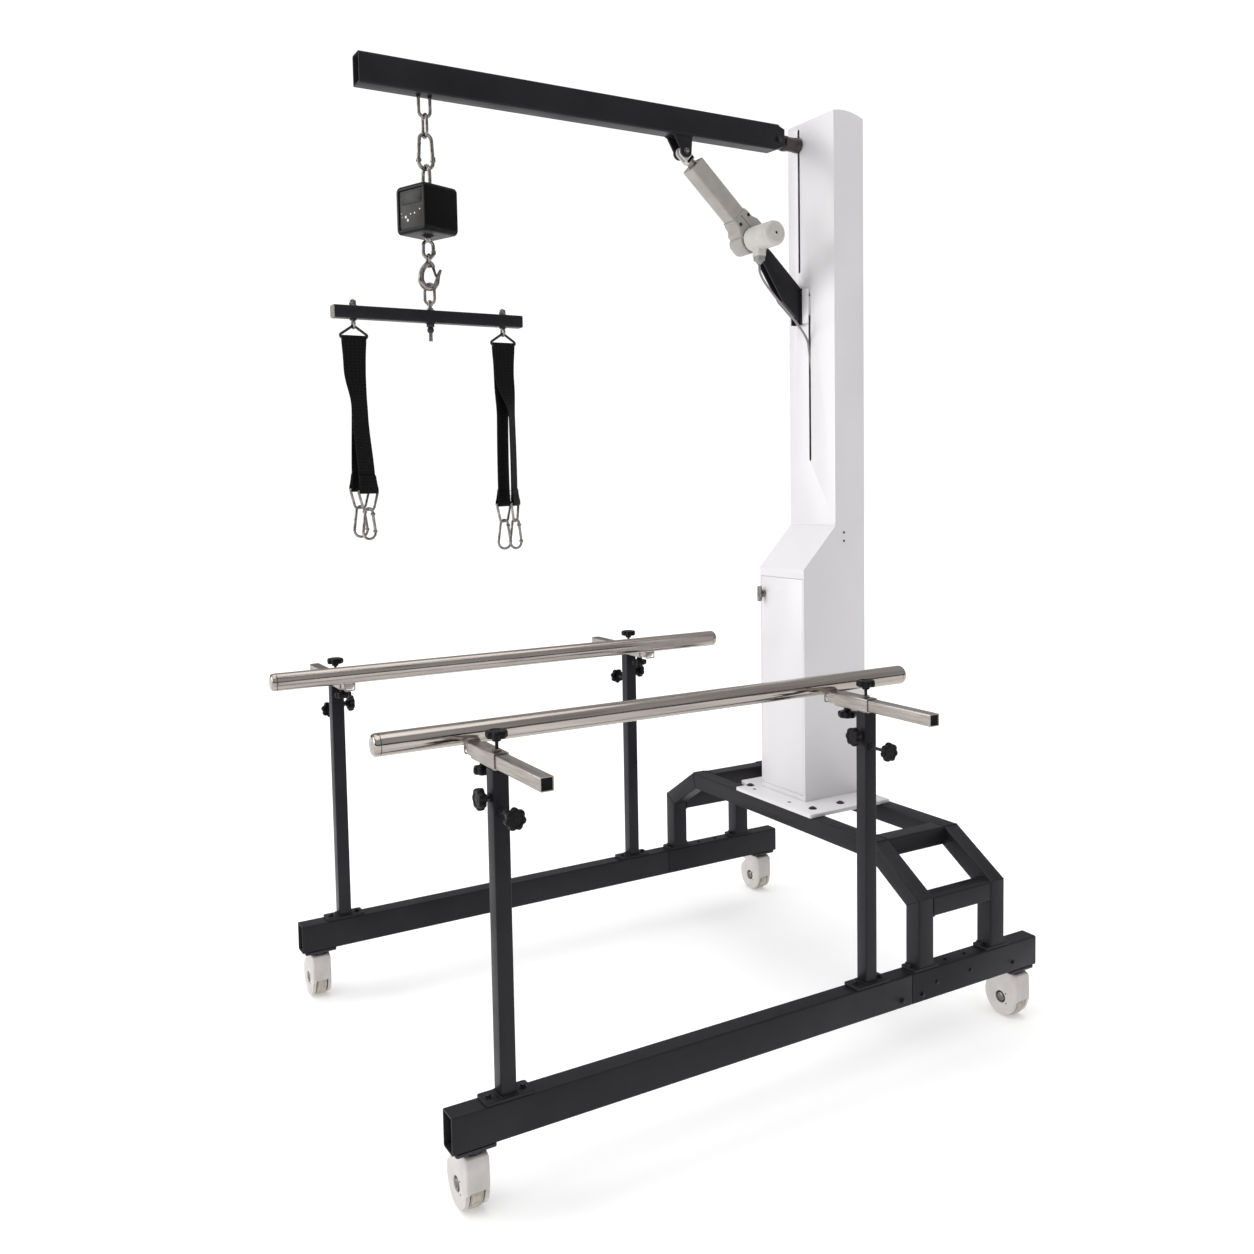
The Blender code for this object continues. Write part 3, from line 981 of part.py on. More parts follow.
tri_top = end_eye_z + 2 * RING_WIRE_R + GAP
tri_base = tri_top - TRI_H
for place, s, drop in (("front", -1, STRAP_DROP_FRONT), ("rear", 1, STRAP_DROP_REAR)):
    ye = HANG_Y + s * SPREAD_EYE_Y
    tri = [(BOOM_X, ye - TRI_W / 2, tri_base), (BOOM_X, ye - TRI_W * 0.47, tri_base + TRI_H * 0.25),
           (BOOM_X, ye - TRI_W * 0.12, tri_top - TRI_H * 0.08), (BOOM_X, ye, tri_top),
           (BOOM_X, ye + TRI_W * 0.12, tri_top - TRI_H * 0.08), (BOOM_X, ye + TRI_W * 0.47, tri_base + TRI_H * 0.25),
           (BOOM_X, ye + TRI_W / 2, tri_base)]
    finish("strap_ring_" + place, wire(tri, RING_WIRE_R, (1, 0, 0)), BLACK_STEEL, (BOOM_X, ye, end_eye_z))
    low = tri_base - drop
    loop_line = ribbon(tri_base, low, RING_WIRE_R + GAP)
    outline = [(BOOM_X + p[0], p[1]) for p in band(loop_line, WEB_T / 2)]
    strap = finish("strap_" + place, prism(outline, "y", ye - WEB_W / 2, ye + WEB_W / 2), WEBBING,
                   (BOOM_X, ye, tri_base), smooth=False)
    for leg, sgn in (("left", -1), ("right", 1)):
        xl = BOOM_X + sgn * (STRAP_SPREAD - WEB_T / 2)
        eyelet = [(xl + p[0], low + 0.006 + p[1]) for p in circle(0.0062, 12)]
        add(strap, prism(eyelet, "y", ye - WEB_W / 2, ye + WEB_W / 2))
        hole = [(xl + p[0], low + 0.006 + p[1]) for p in circle(SNAP_R + GAP, 10)]
        cut(strap, prism(hole, "y", ye - WEB_W, ye + WEB_W))
        bar_z = low + 0.006
        side_y = WEB_W / 2 + SNAP_R + 0.0035
        trap = [(xl, ye - side_y, bar_z), (xl, ye - TRAP_BOTTOM_W / 2, bar_z - TRAP_H),
                (xl, ye + TRAP_BOTTOM_W / 2, bar_z - TRAP_H), (xl, ye + side_y, bar_z)]
        snap = finish("snap_" + place + "_" + leg, wire(trap, SNAP_R, (1, 0, 0)), ZINC_STEEL, (xl, ye, bar_z))
        top = bar_z - TRAP_H + SNAP_R
        add(snap, wire([(xl, ye + p, h) for p, h in long_link(SNAP_W, top, top - SNAP_H, 4)], SNAP_R, (1, 0, 0)))

# Cable from the motor's plug, in one free bend, into the column's lower slot

start = Vector((plug_c.x, plug_c.y, plug_low - GAP))
face = COLUMN_FRONT_Y - CABLE_R - GAP
entry = Vector((TAIL_SLOT_X, face, CABLE_ENTRY_Z + CABLE_SINK))
inside = Vector((TAIL_SLOT_X, COLUMN_FRONT_Y + 0.012, CABLE_ENTRY_Z))


def bezier(p0, p1, p2, p3, t):
    u = 1 - t
    return p0 * u ** 3 + p1 * (3 * u * u * t) + p2 * (3 * u * t * t) + p3 * t ** 3


route = [start]
lead = start - Vector((0, 0, CABLE_LEAD))
first = (lead, lead - Vector((0, 0, 0.045)), entry + Vector((0, -0.006, 0.050)), entry)
second = (entry, entry - Vector((0, -0.0030, 0.030)), inside - Vector((0, 0.004, -0.030)), inside)
for curve, length in ((first, (lead - entry).length * 1.04), (second, (entry - inside).length)):
    count = max(3, round(length / CABLE_STEP))
    route += [bezier(*curve, i / count) for i in range(0 if len(route) == 1 else 1, count + 1)]
data = bpy.data.curves.new("actuator_cable", "CURVE")
data.dimensions = "3D"
data.bevel_depth = CABLE_R
data.bevel_resolution = 2
data.use_fill_caps = True
spline = data.splines.new("POLY")
spline.points.add(len(route) - 1)
for point, at in zip(spline.points, route):
    point.co = (*(at - start), 1.0)
cable = bpy.data.objects.new("actuator_cable", data)
cable.location = start
data.materials.append(material("actuator_cable", *GREY_PLASTIC))
bpy.context.scene.collection.objects.link(cable)
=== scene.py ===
import json
import math
import bmesh
import bpy
from mathutils import Matrix, Vector


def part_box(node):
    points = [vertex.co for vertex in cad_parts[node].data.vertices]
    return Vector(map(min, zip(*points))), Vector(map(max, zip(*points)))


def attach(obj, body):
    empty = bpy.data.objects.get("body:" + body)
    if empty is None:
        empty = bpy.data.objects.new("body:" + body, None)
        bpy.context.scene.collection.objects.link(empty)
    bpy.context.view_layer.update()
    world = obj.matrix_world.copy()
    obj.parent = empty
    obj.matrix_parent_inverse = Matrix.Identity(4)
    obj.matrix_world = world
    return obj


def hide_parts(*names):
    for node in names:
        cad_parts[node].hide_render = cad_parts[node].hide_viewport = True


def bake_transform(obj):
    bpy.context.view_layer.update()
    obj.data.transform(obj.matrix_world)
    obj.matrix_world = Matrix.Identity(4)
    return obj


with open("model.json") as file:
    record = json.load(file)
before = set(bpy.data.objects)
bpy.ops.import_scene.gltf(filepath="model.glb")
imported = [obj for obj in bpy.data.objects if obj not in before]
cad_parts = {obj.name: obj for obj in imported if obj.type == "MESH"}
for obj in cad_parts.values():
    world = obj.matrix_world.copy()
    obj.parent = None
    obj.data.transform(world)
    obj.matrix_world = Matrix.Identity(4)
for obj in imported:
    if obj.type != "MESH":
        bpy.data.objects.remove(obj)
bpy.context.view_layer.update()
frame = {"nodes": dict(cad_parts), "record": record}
body_of = {n: b for b, names in frame["record"]["behaviour"]["bodies"].items() for n in names}
ALONG_X, ALONG_Y, UP, DOWN = (1, 0, 0), (0, 1, 0), (0, 0, 1), (0, 0, -1)
SIDES = (("near", 1), ("far", -1))


def add_object(name, data):
    ob = bpy.data.objects.new(name, data)
    bpy.context.scene.collection.objects.link(ob)
    return ob


# Camera: where the photographer stood, near the walk-in end on the +X side
camera = add_object("camera", bpy.data.cameras.new("camera"))
bpy.context.scene.camera = camera
look_right = Vector((0.504576, 0.863195, -0.017261))
look_up = Vector((-0.049673, 0.048984, 0.997564))
camera.matrix_world = Matrix.Translation((2.3428, -1.3776, 1.2938)) @ Matrix(
    (look_right, look_up, look_right.cross(look_up))).transposed().to_4x4()
camera.data.sensor_width = 36.0
camera.data.lens = 36.0 * 1142.67 / 1254
camera.data.shift_x = -0.00376
camera.data.shift_y = -0.0551
camera.data.clip_end = 60


def linear(code):
    """An sRGB hex colour as linear red, green and blue."""
    parts = [int(code[i:i + 2], 16) / 255 for i in (1, 3, 5)]
    return tuple(c / 12.92 if c <= 0.04045 else ((c + 0.055) / 1.055) ** 2.4 for c in parts)


def add_node(tree, kind, settings=None, **links):
    """Adds a node, with settings on it, and values or sockets on its inputs by name or number."""
    made = tree.nodes.new(kind)
    for key, value in (settings or {}).items():
        setattr(made, key, value)
    for key, value in links.items():
        socket = made.inputs[int(key[1:]) if key[0] == "n" and key[1:].isdigit() else key.replace("_", " ")]
        if isinstance(value, bpy.types.NodeSocket):
            tree.links.new(value, socket)
        else:
            socket.default_value = value
    return made


def mottle(tree, place, scale, low=0.0, high=1.0, detail=3.0, stretch=(1, 1, 1)):
    """A soft noise between two values; scale is in patches per metre."""
    if stretch != (1, 1, 1):
        place = add_node(tree, "ShaderNodeMapping", Vector=place, Scale=stretch).outputs["Vector"]
    noise = add_node(tree, "ShaderNodeTexNoise", Vector=place, Scale=scale, Detail=detail, Roughness=0.55)
    return add_node(tree, "ShaderNodeMapRange", None, Value=noise.outputs[0], n1=0.3, n2=0.7,
                    n3=low, n4=high).outputs["Result"]


def tint(tree, shader, factor, a, b):
    """Colours the shader between two hex colours by a factor."""
    mix = add_node(tree, "ShaderNodeMix", {"data_type": "RGBA"}, n0=factor, n6=(*linear(a), 1), n7=(*linear(b), 1))
    tree.links.new(mix.outputs[2], shader.inputs["Base Color"])


def relief(tree, shader, height, depth, strength):
    """Raises the surface by height times depth, in metres."""
    bump = add_node(tree, "ShaderNodeBump", Height=height, Distance=depth, Strength=strength)
    tree.links.new(bump.outputs["Normal"], shader.inputs["Normal"])


def finish(name, slot, color, rough, metal=0.0, shine=None, tints=None, grain=None, **more):
    """A new material; its slot argument, one of the record's slots, is not used.

    shine is a noise on the roughness (scale, low, high), tints one between two colours (scale, a, b), and grain a
    raised one (scale, depth in metres, strength). Each can go on with the noise's detail, and its stretch on x, y, z.
    """
    made = bpy.data.materials.new(name)
    made.use_nodes = True
    tree = made.node_tree
    shader = tree.nodes["Principled BSDF"]
    more.update({"Base Color": (*linear(color), 1), "Roughness": rough, "Metallic": metal})
    for key, value in more.items():
        shader.inputs[key.replace("_", " ")].default_value = value
    place = add_node(tree, "ShaderNodeTexCoord").outputs["Object"]
    if shine:
        tree.links.new(mottle(tree, place, *shine), shader.inputs["Roughness"])
    if tints:
        scale, a, b, *rest = tints
        tint(tree, shader, mottle(tree, place, scale, 0.0, 1.0, *rest), a, b)
    if grain:
        scale, depth, strength, *rest = grain
        relief(tree, shader, mottle(tree, place, scale, 0.0, 1.0, *rest), depth, strength)
    return made


# Powder-coated steel, satin black: baked polyester powder flows into a faint orange peel of about 2 mm
black_coat = finish("satin_black_powder_coat", "black_steel", "#1e1d21", 0.42, 0.0, (9.0, 0.36, 0.50),
                    (5.0, "#19181c", "#242328"), (480.0, 0.00012, 0.35, 1.0), Specular_IOR_Level=0.20)
# Powder-coated sheet steel, white: a little glossier, with the same orange peel
white_coat = finish("white_powder_coat", "white_steel", "#e5e3e5", 0.34, 0.0, (6.0, 0.30, 0.40),
                    (3.0, "#e1dfe1", "#e8e6e8"), (420.0, 0.00010, 0.30, 1.0), Coat_Weight=0.15, Coat_Roughness=0.25)
# Stainless steel tube, polished along its length: long fine streaks, warm grey mirror
polished_tube = finish("polished_stainless_tube", "stainless", "#a9a19b", 0.14, 1.0,
                       (300.0, 0.09, 0.21, 4.0, (1, 0.02, 1)), (120.0, "#978f8a", "#b9b2ac", 4.0, (1, 0.03, 1)),
                       (700.0, 0.00003, 0.4, 2.0, (1, 0.02, 1)))
# Stainless square tube, belt brushed along X: visible grain of about 0.4 mm
brushed_bar = finish("brushed_stainless_bar", "brushed", "#a39c97", 0.30, 1.0,
                     (900.0, 0.24, 0.40, 3.0, (0.02, 1, 1)), (500.0, "#8f8883", "#b3ada8", 3.0, (0.03, 1, 1)),
                     (1400.0, 0.00004, 0.5, 2.0, (0.02, 1, 1)))
# The same steel on the uprights, brushed along Z
brushed_post = finish("brushed_stainless_post", "brushed", "#a39c97", 0.32, 1.0, None,
                      (500.0, "#8f8883", "#b3ada8", 3.0, (1, 1, 0.03)), (1400.0, 0.00004, 0.5, 2.0, (1, 1, 0.02)))
# Phenolic and nylon knobs: moulded black with a slight sheen and a fine spark-eroded grain
knob_plastic = finish("moulded_black_nylon", "black_plastic", "#0b0b0d", 0.40, 0.0, (60.0, 0.34, 0.48), None,
                      (1600.0, 0.00008, 0.35, 2.0), Specular_IOR_Level=0.18)
# Polyethylene tube plugs: duller and a shade lighter than the knobs
plug_plastic = finish("polyethylene_plug", "black_plastic", "#0e0e10", 0.60, grain=(1100.0, 0.00008, 0.4, 2.0),
                      Specular_IOR_Level=0.12)
# Dark satin ABS of the scale's housing, with a light moulding grain
scale_abs = finish("black_abs_housing", "black_plastic", "#060607", 0.38, grain=(1300.0, 0.00006, 0.35, 2.0),
                   Specular_IOR_Level=0.14)
# The scale's front: dark grey polycarbonate sheet, a smoked window and pale key caps
scale_panel = finish("grey_polycarbonate_panel", "grey_plastic", "#302e2d", 0.42, tints=(40.0, "#2a2827", "#383635"),
                     Specular_IOR_Level=0.20)
scale_window = finish("smoked_display_window", "black_plastic", "#141313", 0.40, Specular_IOR_Level=0.25)
key_cap = finish("white_key_cap", "white_plastic", "#eceaea", 0.35)
# Light grey ABS of the actuator's motor, satin, with a fine grain
actuator_abs = finish("light_grey_abs", "grey_plastic", "#c2beba", 0.42, tints=(25.0, "#bdb9b5", "#c8c4c0"),
                      grain=(1200.0, 0.00008, 0.4, 2.0))
# Grey textured coat on the actuator's cast gearbox and extruded guide tube: dull, with a fine pebble
guide_coat = finish("grey_textured_coat", "grey_plastic", "#a39e9a", 0.46, tints=(25.0, "#9d9894", "#aaa5a1"),
                    grain=(900.0, 0.00010, 0.4, 2.0))
# White nylon caster housings, slightly waxy and greyed by use
caster_nylon = finish("white_nylon_housing", "white_plastic", "#cbc6c3", 0.36, tints=(30.0, "#c4bfbc", "#d1ccc9"),
                      grain=(1100.0, 0.00006, 0.3, 2.0), Subsurface_Weight=0.04)
# Polyurethane tyre: beige grey, dull, with scuffs from the floor
caster_tread = finish("beige_polyurethane_tread", "tread", "#bdb4a8", 0.62, tints=(90.0, "#a99f92", "#c9c1b6"),
                      grain=(700.0, 0.0001, 0.4, 2.0))
# Zinc-plated forged steel: bright, uneven, darker in patches where the plating is thin
zinc = finish("zinc_plated_steel", "zinc_steel", "#b4b0ac", 0.30, 1.0, (160.0, 0.20, 0.42),
              (110.0, "#67625e", "#aaa5a1"), (800.0, 0.00006, 0.4, 2.0))
# Black-oxide steel of bolts, nuts and screws: nearly black with a dull oily sheen
oxide = finish("black_oxide_steel", "black_steel", "#35343a", 0.38, 0.7, (200.0, 0.30, 0.48))
# Galvanised axle ends of the casters
hub_steel = finish("galvanised_hub_steel", "zinc_steel", "#77736e", 0.40, 1.0, None, (200.0, "#5f5b57", "#8f8b86"))
# Bare gunmetal carriage and pivot barrel at the boom's root, turned marks running round
pivot_steel = finish("machined_dark_steel", "zinc_steel", "#55514f", 0.34, 1.0,
                     grain=(1500.0, 0.00004, 0.4, 2.0, (1, 0.03, 1)))
# Grey PVC cable sheath
cable_pvc = finish("grey_pvc_sheath", "grey_plastic", "#8d8a88", 0.45, grain=(900.0, 0.00004, 0.3, 2.0))
# Flat dark colour put in holes, gaps and seams: painted shade, standing for the shadow inside them
painted_gap_shade = finish("painted_shade_in_gaps", "black_steel", "#1d1c1f", 0.85)
# Black polyester webbing: plain weave with yarns 1.4 mm apart across and 1.1 mm along the web
webbing = finish("woven_black_webbing", "webbing", "#08080a", 0.82, Sheen_Weight=0.12, Specular_IOR_Level=0.15,
                 Sheen_Roughness=0.5, Sheen_Tint=(*linear("#5a5a60"), 1))
web_tree = webbing.node_tree
web_shader = web_tree.nodes["Principled BSDF"]
web_uv = add_node(web_tree, "ShaderNodeUVMap", {"uv_map": "web"}).outputs["UV"]
yarns = [add_node(web_tree, "ShaderNodeTexWave", {"bands_direction": way}, Vector=web_uv, Scale=1000 / pitch / 20,
                  Distortion=0.0).outputs[0] for way, pitch in (("X", 1.4), ("Y", 1.1))]
weave = add_node(web_tree, "ShaderNodeMath", {"operation": "MULTIPLY"}, n0=yarns[0], n1=yarns[1]).outputs[0]
tint(web_tree, web_shader, weave, "#08080a", "#161618")
relief(web_tree, web_shader, weave, 0.00035, 0.8)


# Building helpers


def mesh_from(name, bm):
    """Turns a bmesh into a mesh and frees it."""
    me = bpy.data.meshes.new(name)
    bm.to_mesh(me)
    bm.free()
    return me


def settle(ob, body, looks, stands_for=(), smooth=35.0):
    """Gives an object its finishes and smooth shading, and puts it on a CAD body."""
    if len(ob.data.materials):
        ob.data.materials.clear()
    for look in looks:
        ob.data.materials.append(look)
    ob.data.shade_smooth()
    ob.data.set_sharp_from_angle(angle=math.radians(smooth))
    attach(ob, body)
    if stands_for:
        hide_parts(*stands_for)
    return ob


def piece(name, bm, body, look, stands_for=(), smooth=35.0, extra=()):
    """Makes a finished object of a mesh already in place, which moves with a CAD body."""
    return settle(add_object(name, mesh_from(name, bm)), body, (look, *extra), stands_for, smooth)


def fair(bm):
    """Turns all normals outward."""
    bmesh.ops.recalc_face_normals(bm, faces=bm.faces)
    return bm


def round_edges(bm, edges, offset, segments, **more):
    bmesh.ops.bevel(bm, geom=edges, offset=offset, segments=segments, profile=0.5, affect="EDGES",
                    clamp_overlap=True, **more)
    return bm


def soften(bm, edge, segments=2, angle=60.0):
    """Rounds every edge that is sharper than an angle."""
    sharp = [e for e in bm.edges if len(e.link_faces) == 2 and e.calc_face_angle(0) > math.radians(angle)]
    return round_edges(bm, sharp, edge, segments, offset_type="OFFSET")


def dressed(node, look, edge, segments, angle):
    """A copy of a CAD node with rounded edges and a finish, which stands for that node."""
    bm = bmesh.new()
    bm.from_mesh(frame["nodes"][node].data)
    bmesh.ops.remove_doubles(bm, verts=bm.verts, dist=0.00002)
    bmesh.ops.dissolve_limit(bm, angle_limit=math.radians(0.6), verts=bm.verts, edges=bm.edges)
    piece(node + "_finished", soften(bm, edge, segments, angle), body_of[node], look, (node,))


def joined(*parts):
    """Joins meshes into one."""
    whole = parts[0]
    for part in parts[1:]:
        scrap = mesh_from("scrap", part)
        whole.from_mesh(scrap)
        bpy.data.meshes.remove(scrap)
    return whole


def rounded(w, h, r, at=(0, 0), n=4):
    """The outline of a rectangle with round corners, n steps each, round a point."""
    pts = []
    for k, (sx, sy) in enumerate(((1, 1), (-1, 1), (-1, -1), (1, -1))):
        for i in range(n + 1):
            a = math.pi / 2 * (k + i / n)
            pts.append((sx * (w / 2 - r) + r * math.cos(a) + at[0], sy * (h / 2 - r) + r * math.sin(a) + at[1]))
    return pts


def arc(r, start, end, count, u=0.0, v=0.0, wide=None):
    """Points on an arc round (u, v) between two angles in degrees, both ends included; wide is its other radius."""
    angles = [math.radians(start + (end - start) * i / count) for i in range(count + 1)]
    return [(u + (wide or r) * math.cos(a), v + r * math.sin(a)) for a in angles]


def mirrored(profile):
    """A profile and its mirror image, for a turned shape that is alike at both ends."""
    return profile + [(r, -t) for r, t in reversed(profile)]


def spot(p, axis, t):
    """A flat point as a place in space, t along an axis."""
    return Vector({"x": (t, p[0], p[1]), "y": (p[0], t, p[1]), "z": (p[0], p[1], t)}[axis])


def stacked(bm, rings, closed=False, ends=True):
    """Faces between rows of vertices with as many in each, and over the first and last."""
    for lo, hi in zip(rings, rings[1:] + rings[:1] if closed else rings[1:]):
        for k in range(len(lo)):
            m = (k + 1) % len(lo)
            bm.faces.new((lo[k], lo[m], hi[m], hi[k]))
    if ends and not closed:
        bm.faces.new(list(reversed(rings[0])))
        bm.faces.new(rings[-1])
    return fair(bm)


def prism(outline, axis, a, b):
    """An outline drawn out along an axis from a to b."""
    bm = bmesh.new()
    low, high = ([bm.verts.new(spot(p, axis, t)) for p in outline] for t in (a, b))
    bm.faces.new(low)
    bm.faces.new(list(reversed(high)))
    return stacked(bm, [low, high], ends=False)


def block(outline, axis, a, b, edge, segments=2, angle=60.0):
    """A prism with rounded edges."""
    return soften(prism(outline, axis, a, b), edge, segments, angle)


def lathe(profile, centre, direction, n=32):
    """Turns (radius, height) pairs round a direction; closed on the axis at both ends."""
    bm = bmesh.new()
    turn = Vector(UP).rotation_difference(Vector(direction)).to_matrix().to_4x4()
    rings = []
    for r, t in profile:
        steps = [2 * math.pi * i / n for i in range(1 if r < 1e-7 else n)]
        rings.append([bm.verts.new((r * math.cos(a), r * math.sin(a), t)) for a in steps])
    for lo, hi in zip(rings, rings[1:]):
        for i in range(n):
            j = (i + 1) % n
            if len(lo) == 1 and len(hi) > 1:
                bm.faces.new((lo[0], hi[j], hi[i]))
            elif len(hi) == 1 and len(lo) > 1:
                bm.faces.new((lo[i], lo[j], hi[0]))
            elif len(lo) > 1:
                bm.faces.new((lo[i], lo[j], hi[j], hi[i]))
    for ring in (rings[0], rings[-1]):
        if len(ring) > 1:
            bm.faces.new(ring)
    bm.transform(Matrix.Translation(Vector(centre)) @ turn)
    return fair(bm)


def bar_along(points, r, closed=False, sides=12, normal=ALONG_X):
    """A round bar of radius r (one number, or one for each point) along a smooth flat row of points."""
    bm = bmesh.new()
    pts = [Vector(p) for p in points]
    n = len(pts)
    radius = r if isinstance(r, (list, tuple)) else [r] * n
    up = Vector(normal)
    rings = []
    for i in range(n):
        a = pts[i - 1] if closed or i > 0 else pts[0]
        b = pts[(i + 1) % n] if closed or i < n - 1 else pts[-1]
        d = (b - a).normalized()
        side = d.cross(up).normalized()
        over = side.cross(d).normalized()
        turns = [2 * math.pi * k / sides for k in range(sides)]
        rings.append([bm.verts.new(pts[i] + side * (radius[i] * math.cos(t)) + over * (radius[i] * math.sin(t)))
                      for t in turns])
    return stacked(bm, rings, closed)


def smooth_line(points, steps):
    """More points on a smooth curve through the given ones."""
    pts = [Vector(p) for p in points]
    out = []
    for i in range(len(pts) - 1):
        p0, p1, p2, p3 = pts[max(i - 1, 0)], pts[i], pts[i + 1], pts[min(i + 2, len(pts) - 1)]
        for s in range(steps):
            t = s / steps
            out.append(0.5 * ((2 * p1) + (p2 - p0) * t + (2 * p0 - 5 * p1 + 4 * p2 - p3) * t * t
                              + (3 * p1 - p0 - 3 * p2 + p3) * t ** 3))
    return out + [pts[-1]]


# Repeats, made by Geometry Nodes: bolts on marked points, weld ripples and stitches along lines


def new_tree(name, sizes):
    """A node tree with a Geometry input, named number inputs and a Material input."""
    tree = bpy.data.node_groups.new(name, "GeometryNodeTree")
    tree.interface.new_socket(name="Geometry", in_out="INPUT", socket_type="NodeSocketGeometry")
    for key, value in sizes.items():
        kind = "NodeSocketInt" if isinstance(value, int) else "NodeSocketFloat"
        tree.interface.new_socket(name=key, in_out="INPUT", socket_type=kind).default_value = value
    tree.interface.new_socket(name="Finish", in_out="INPUT", socket_type="NodeSocketMaterial")
    tree.interface.new_socket(name="Geometry", in_out="OUTPUT", socket_type="NodeSocketGeometry")
    return tree, add_node(tree, "NodeGroupInput").outputs, add_node(tree, "NodeGroupOutput")


def reckon(tree, how, a, b):
    return add_node(tree, "ShaderNodeMath", {"operation": how}, n0=a, n1=b).outputs[0]


def finish_tree(tree, given, out, geometry):
    real = add_node(tree, "GeometryNodeRealizeInstances", Geometry=geometry)
    painted = add_node(tree, "GeometryNodeSetMaterial", Geometry=real.outputs[0], Material=given["Finish"])
    tree.links.new(painted.outputs[0], out.inputs[0])
    return tree


def bolt_tree():
    """Hex head on a washer, standing on each point along the point's own axis."""
    tree, given, out = new_tree("hex_bolts", {"Across Flats": 0.010, "Head Height": 0.004, "Washer Diameter": 0.016,
                                              "Washer Height": 0.0012, "Turn": 0})

    def times(key, factor):
        return reckon(tree, "MULTIPLY", given[key], factor)

    washer = add_node(tree, "GeometryNodeMeshCylinder", n0=24, n3=times("Washer Diameter", 0.5),
                      n4=given["Washer Height"])
    head = add_node(tree, "GeometryNodeMeshCylinder", n0=6, n3=times("Across Flats", 0.577), n4=given["Head Height"])
    crown = add_node(tree, "GeometryNodeMeshCone", n0=24, n3=times("Across Flats", 0.36),
                     n4=times("Across Flats", 0.46), n5=0.0008)
    top = reckon(tree, "ADD", given["Washer Height"], given["Head Height"])
    join = add_node(tree, "GeometryNodeJoinGeometry")
    for mesh, height in ((washer, times("Washer Height", 0.5)),
                         (head, reckon(tree, "ADD", given["Washer Height"], times("Head Height", 0.5))),
                         (crown, reckon(tree, "ADD", top, -0.0001))):
        place = add_node(tree, "ShaderNodeCombineXYZ", Z=height).outputs[0]
        lifted = add_node(tree, "GeometryNodeTransform", Geometry=mesh.outputs[0], Translation=place)
        tree.links.new(lifted.outputs[0], join.inputs[0])
    axis = add_node(tree, "GeometryNodeInputNamedAttribute", {"data_type": "FLOAT_VECTOR"}, Name="axis").outputs[0]
    aim = add_node(tree, "FunctionNodeAlignRotationToVector", {"axis": "Z"}, Vector=axis).outputs[0]
    spread = add_node(tree, "FunctionNodeRandomValue", {"data_type": "FLOAT"}, n2=0.0, n3=1.05, Seed=given["Turn"])
    turn = add_node(tree, "ShaderNodeCombineXYZ", Z=spread.outputs[1]).outputs[0]
    turned = add_node(tree, "FunctionNodeRotateRotation", {"rotation_space": "LOCAL"}, n0=aim, n1=turn).outputs[0]
    points = add_node(tree, "GeometryNodeMeshToPoints", Mesh=given["Geometry"]).outputs[0]
    placed = add_node(tree, "GeometryNodeInstanceOnPoints", Points=points, Instance=join.outputs[0], Rotation=turned)
    return finish_tree(tree, given, out, placed.outputs[0])


def line_tree(name, make_one):
    """One small form repeated along lines, turned to follow them, each a little different."""
    tree, given, out = new_tree(name, {"Spacing": 0.003, "Size": 0.002, "Length": 0.0024, "Seed": 3})
    line = add_node(tree, "GeometryNodeMeshToCurve", Mesh=given["Geometry"]).outputs[0]
    points = add_node(tree, "GeometryNodeCurveToPoints", {"mode": "LENGTH"}, Curve=line, Length=given["Spacing"])
    one = make_one(tree, given)
    vary = add_node(tree, "FunctionNodeRandomValue", {"data_type": "FLOAT"}, n2=0.86, n3=1.14, Seed=given["Seed"])
    placed = add_node(tree, "GeometryNodeInstanceOnPoints", Points=points.outputs["Points"], Instance=one,
                      Rotation=points.outputs["Rotation"], Scale=vary.outputs[1])
    return finish_tree(tree, given, out, placed.outputs[0])


def weld_ripple(tree, given):
    ball = add_node(tree, "GeometryNodeMeshIcoSphere", Radius=given["Size"], Subdivisions=2).outputs[0]
    return add_node(tree, "GeometryNodeTransform", Geometry=ball, Scale=(1.0, 1.0, 0.75)).outputs[0]


def stitch(tree, given):
    return add_node(tree, "GeometryNodeMeshCylinder", n0=8, n3=given["Size"], n4=given["Length"]).outputs[0]


bolts_on_points = bolt_tree()
welds_on_lines = line_tree("weld_ripples", weld_ripple)
stitches_on_lines = line_tree("stitches", stitch)


def plain_copy(ob):
    """The mesh that an object's modifiers make."""
    bpy.context.view_layer.update()
    return bpy.data.meshes.new_from_object(ob.evaluated_get(bpy.context.evaluated_depsgraph_get()))


def grown(name, tree, points, edges, sizes, body, look, axes=None, smooth=40.0):
    """Runs a node tree on points or lines and keeps the result as a plain mesh on a body."""
    me = bpy.data.meshes.new(name)
    me.from_pydata([tuple(p) for p in points], edges, [])
    if axes:
        store = me.attributes.new("axis", "FLOAT_VECTOR", "POINT")
        for i, axis in enumerate(axes):
            store.data[i].vector = axis
    ob = add_object(name, me)
    mod = ob.modifiers.new("repeat", "NODES")
    mod.node_group = tree
    for item in tree.interface.items_tree:
        if item.in_out == "INPUT" and item.name in sizes:
            mod[item.identifier] = sizes[item.name]
        if item.in_out == "INPUT" and item.name == "Finish":
            mod[item.identifier] = look
    plain = plain_copy(ob)
    ob.modifiers.clear()
    ob.data = plain
    return settle(ob, body, (look,), (), smooth)


def bolts(name, body, spots, flats, height, washer, look=oxide, seed=1):
    """Hex bolts: spots are (place, axis) pairs."""
    grown(name, bolts_on_points, [s[0] for s in spots], [],
          {"Across Flats": flats, "Head Height": height, "Washer Diameter": washer, "Washer Height": 0.0012,
           "Turn": seed}, body, look, [s[1] for s in spots])


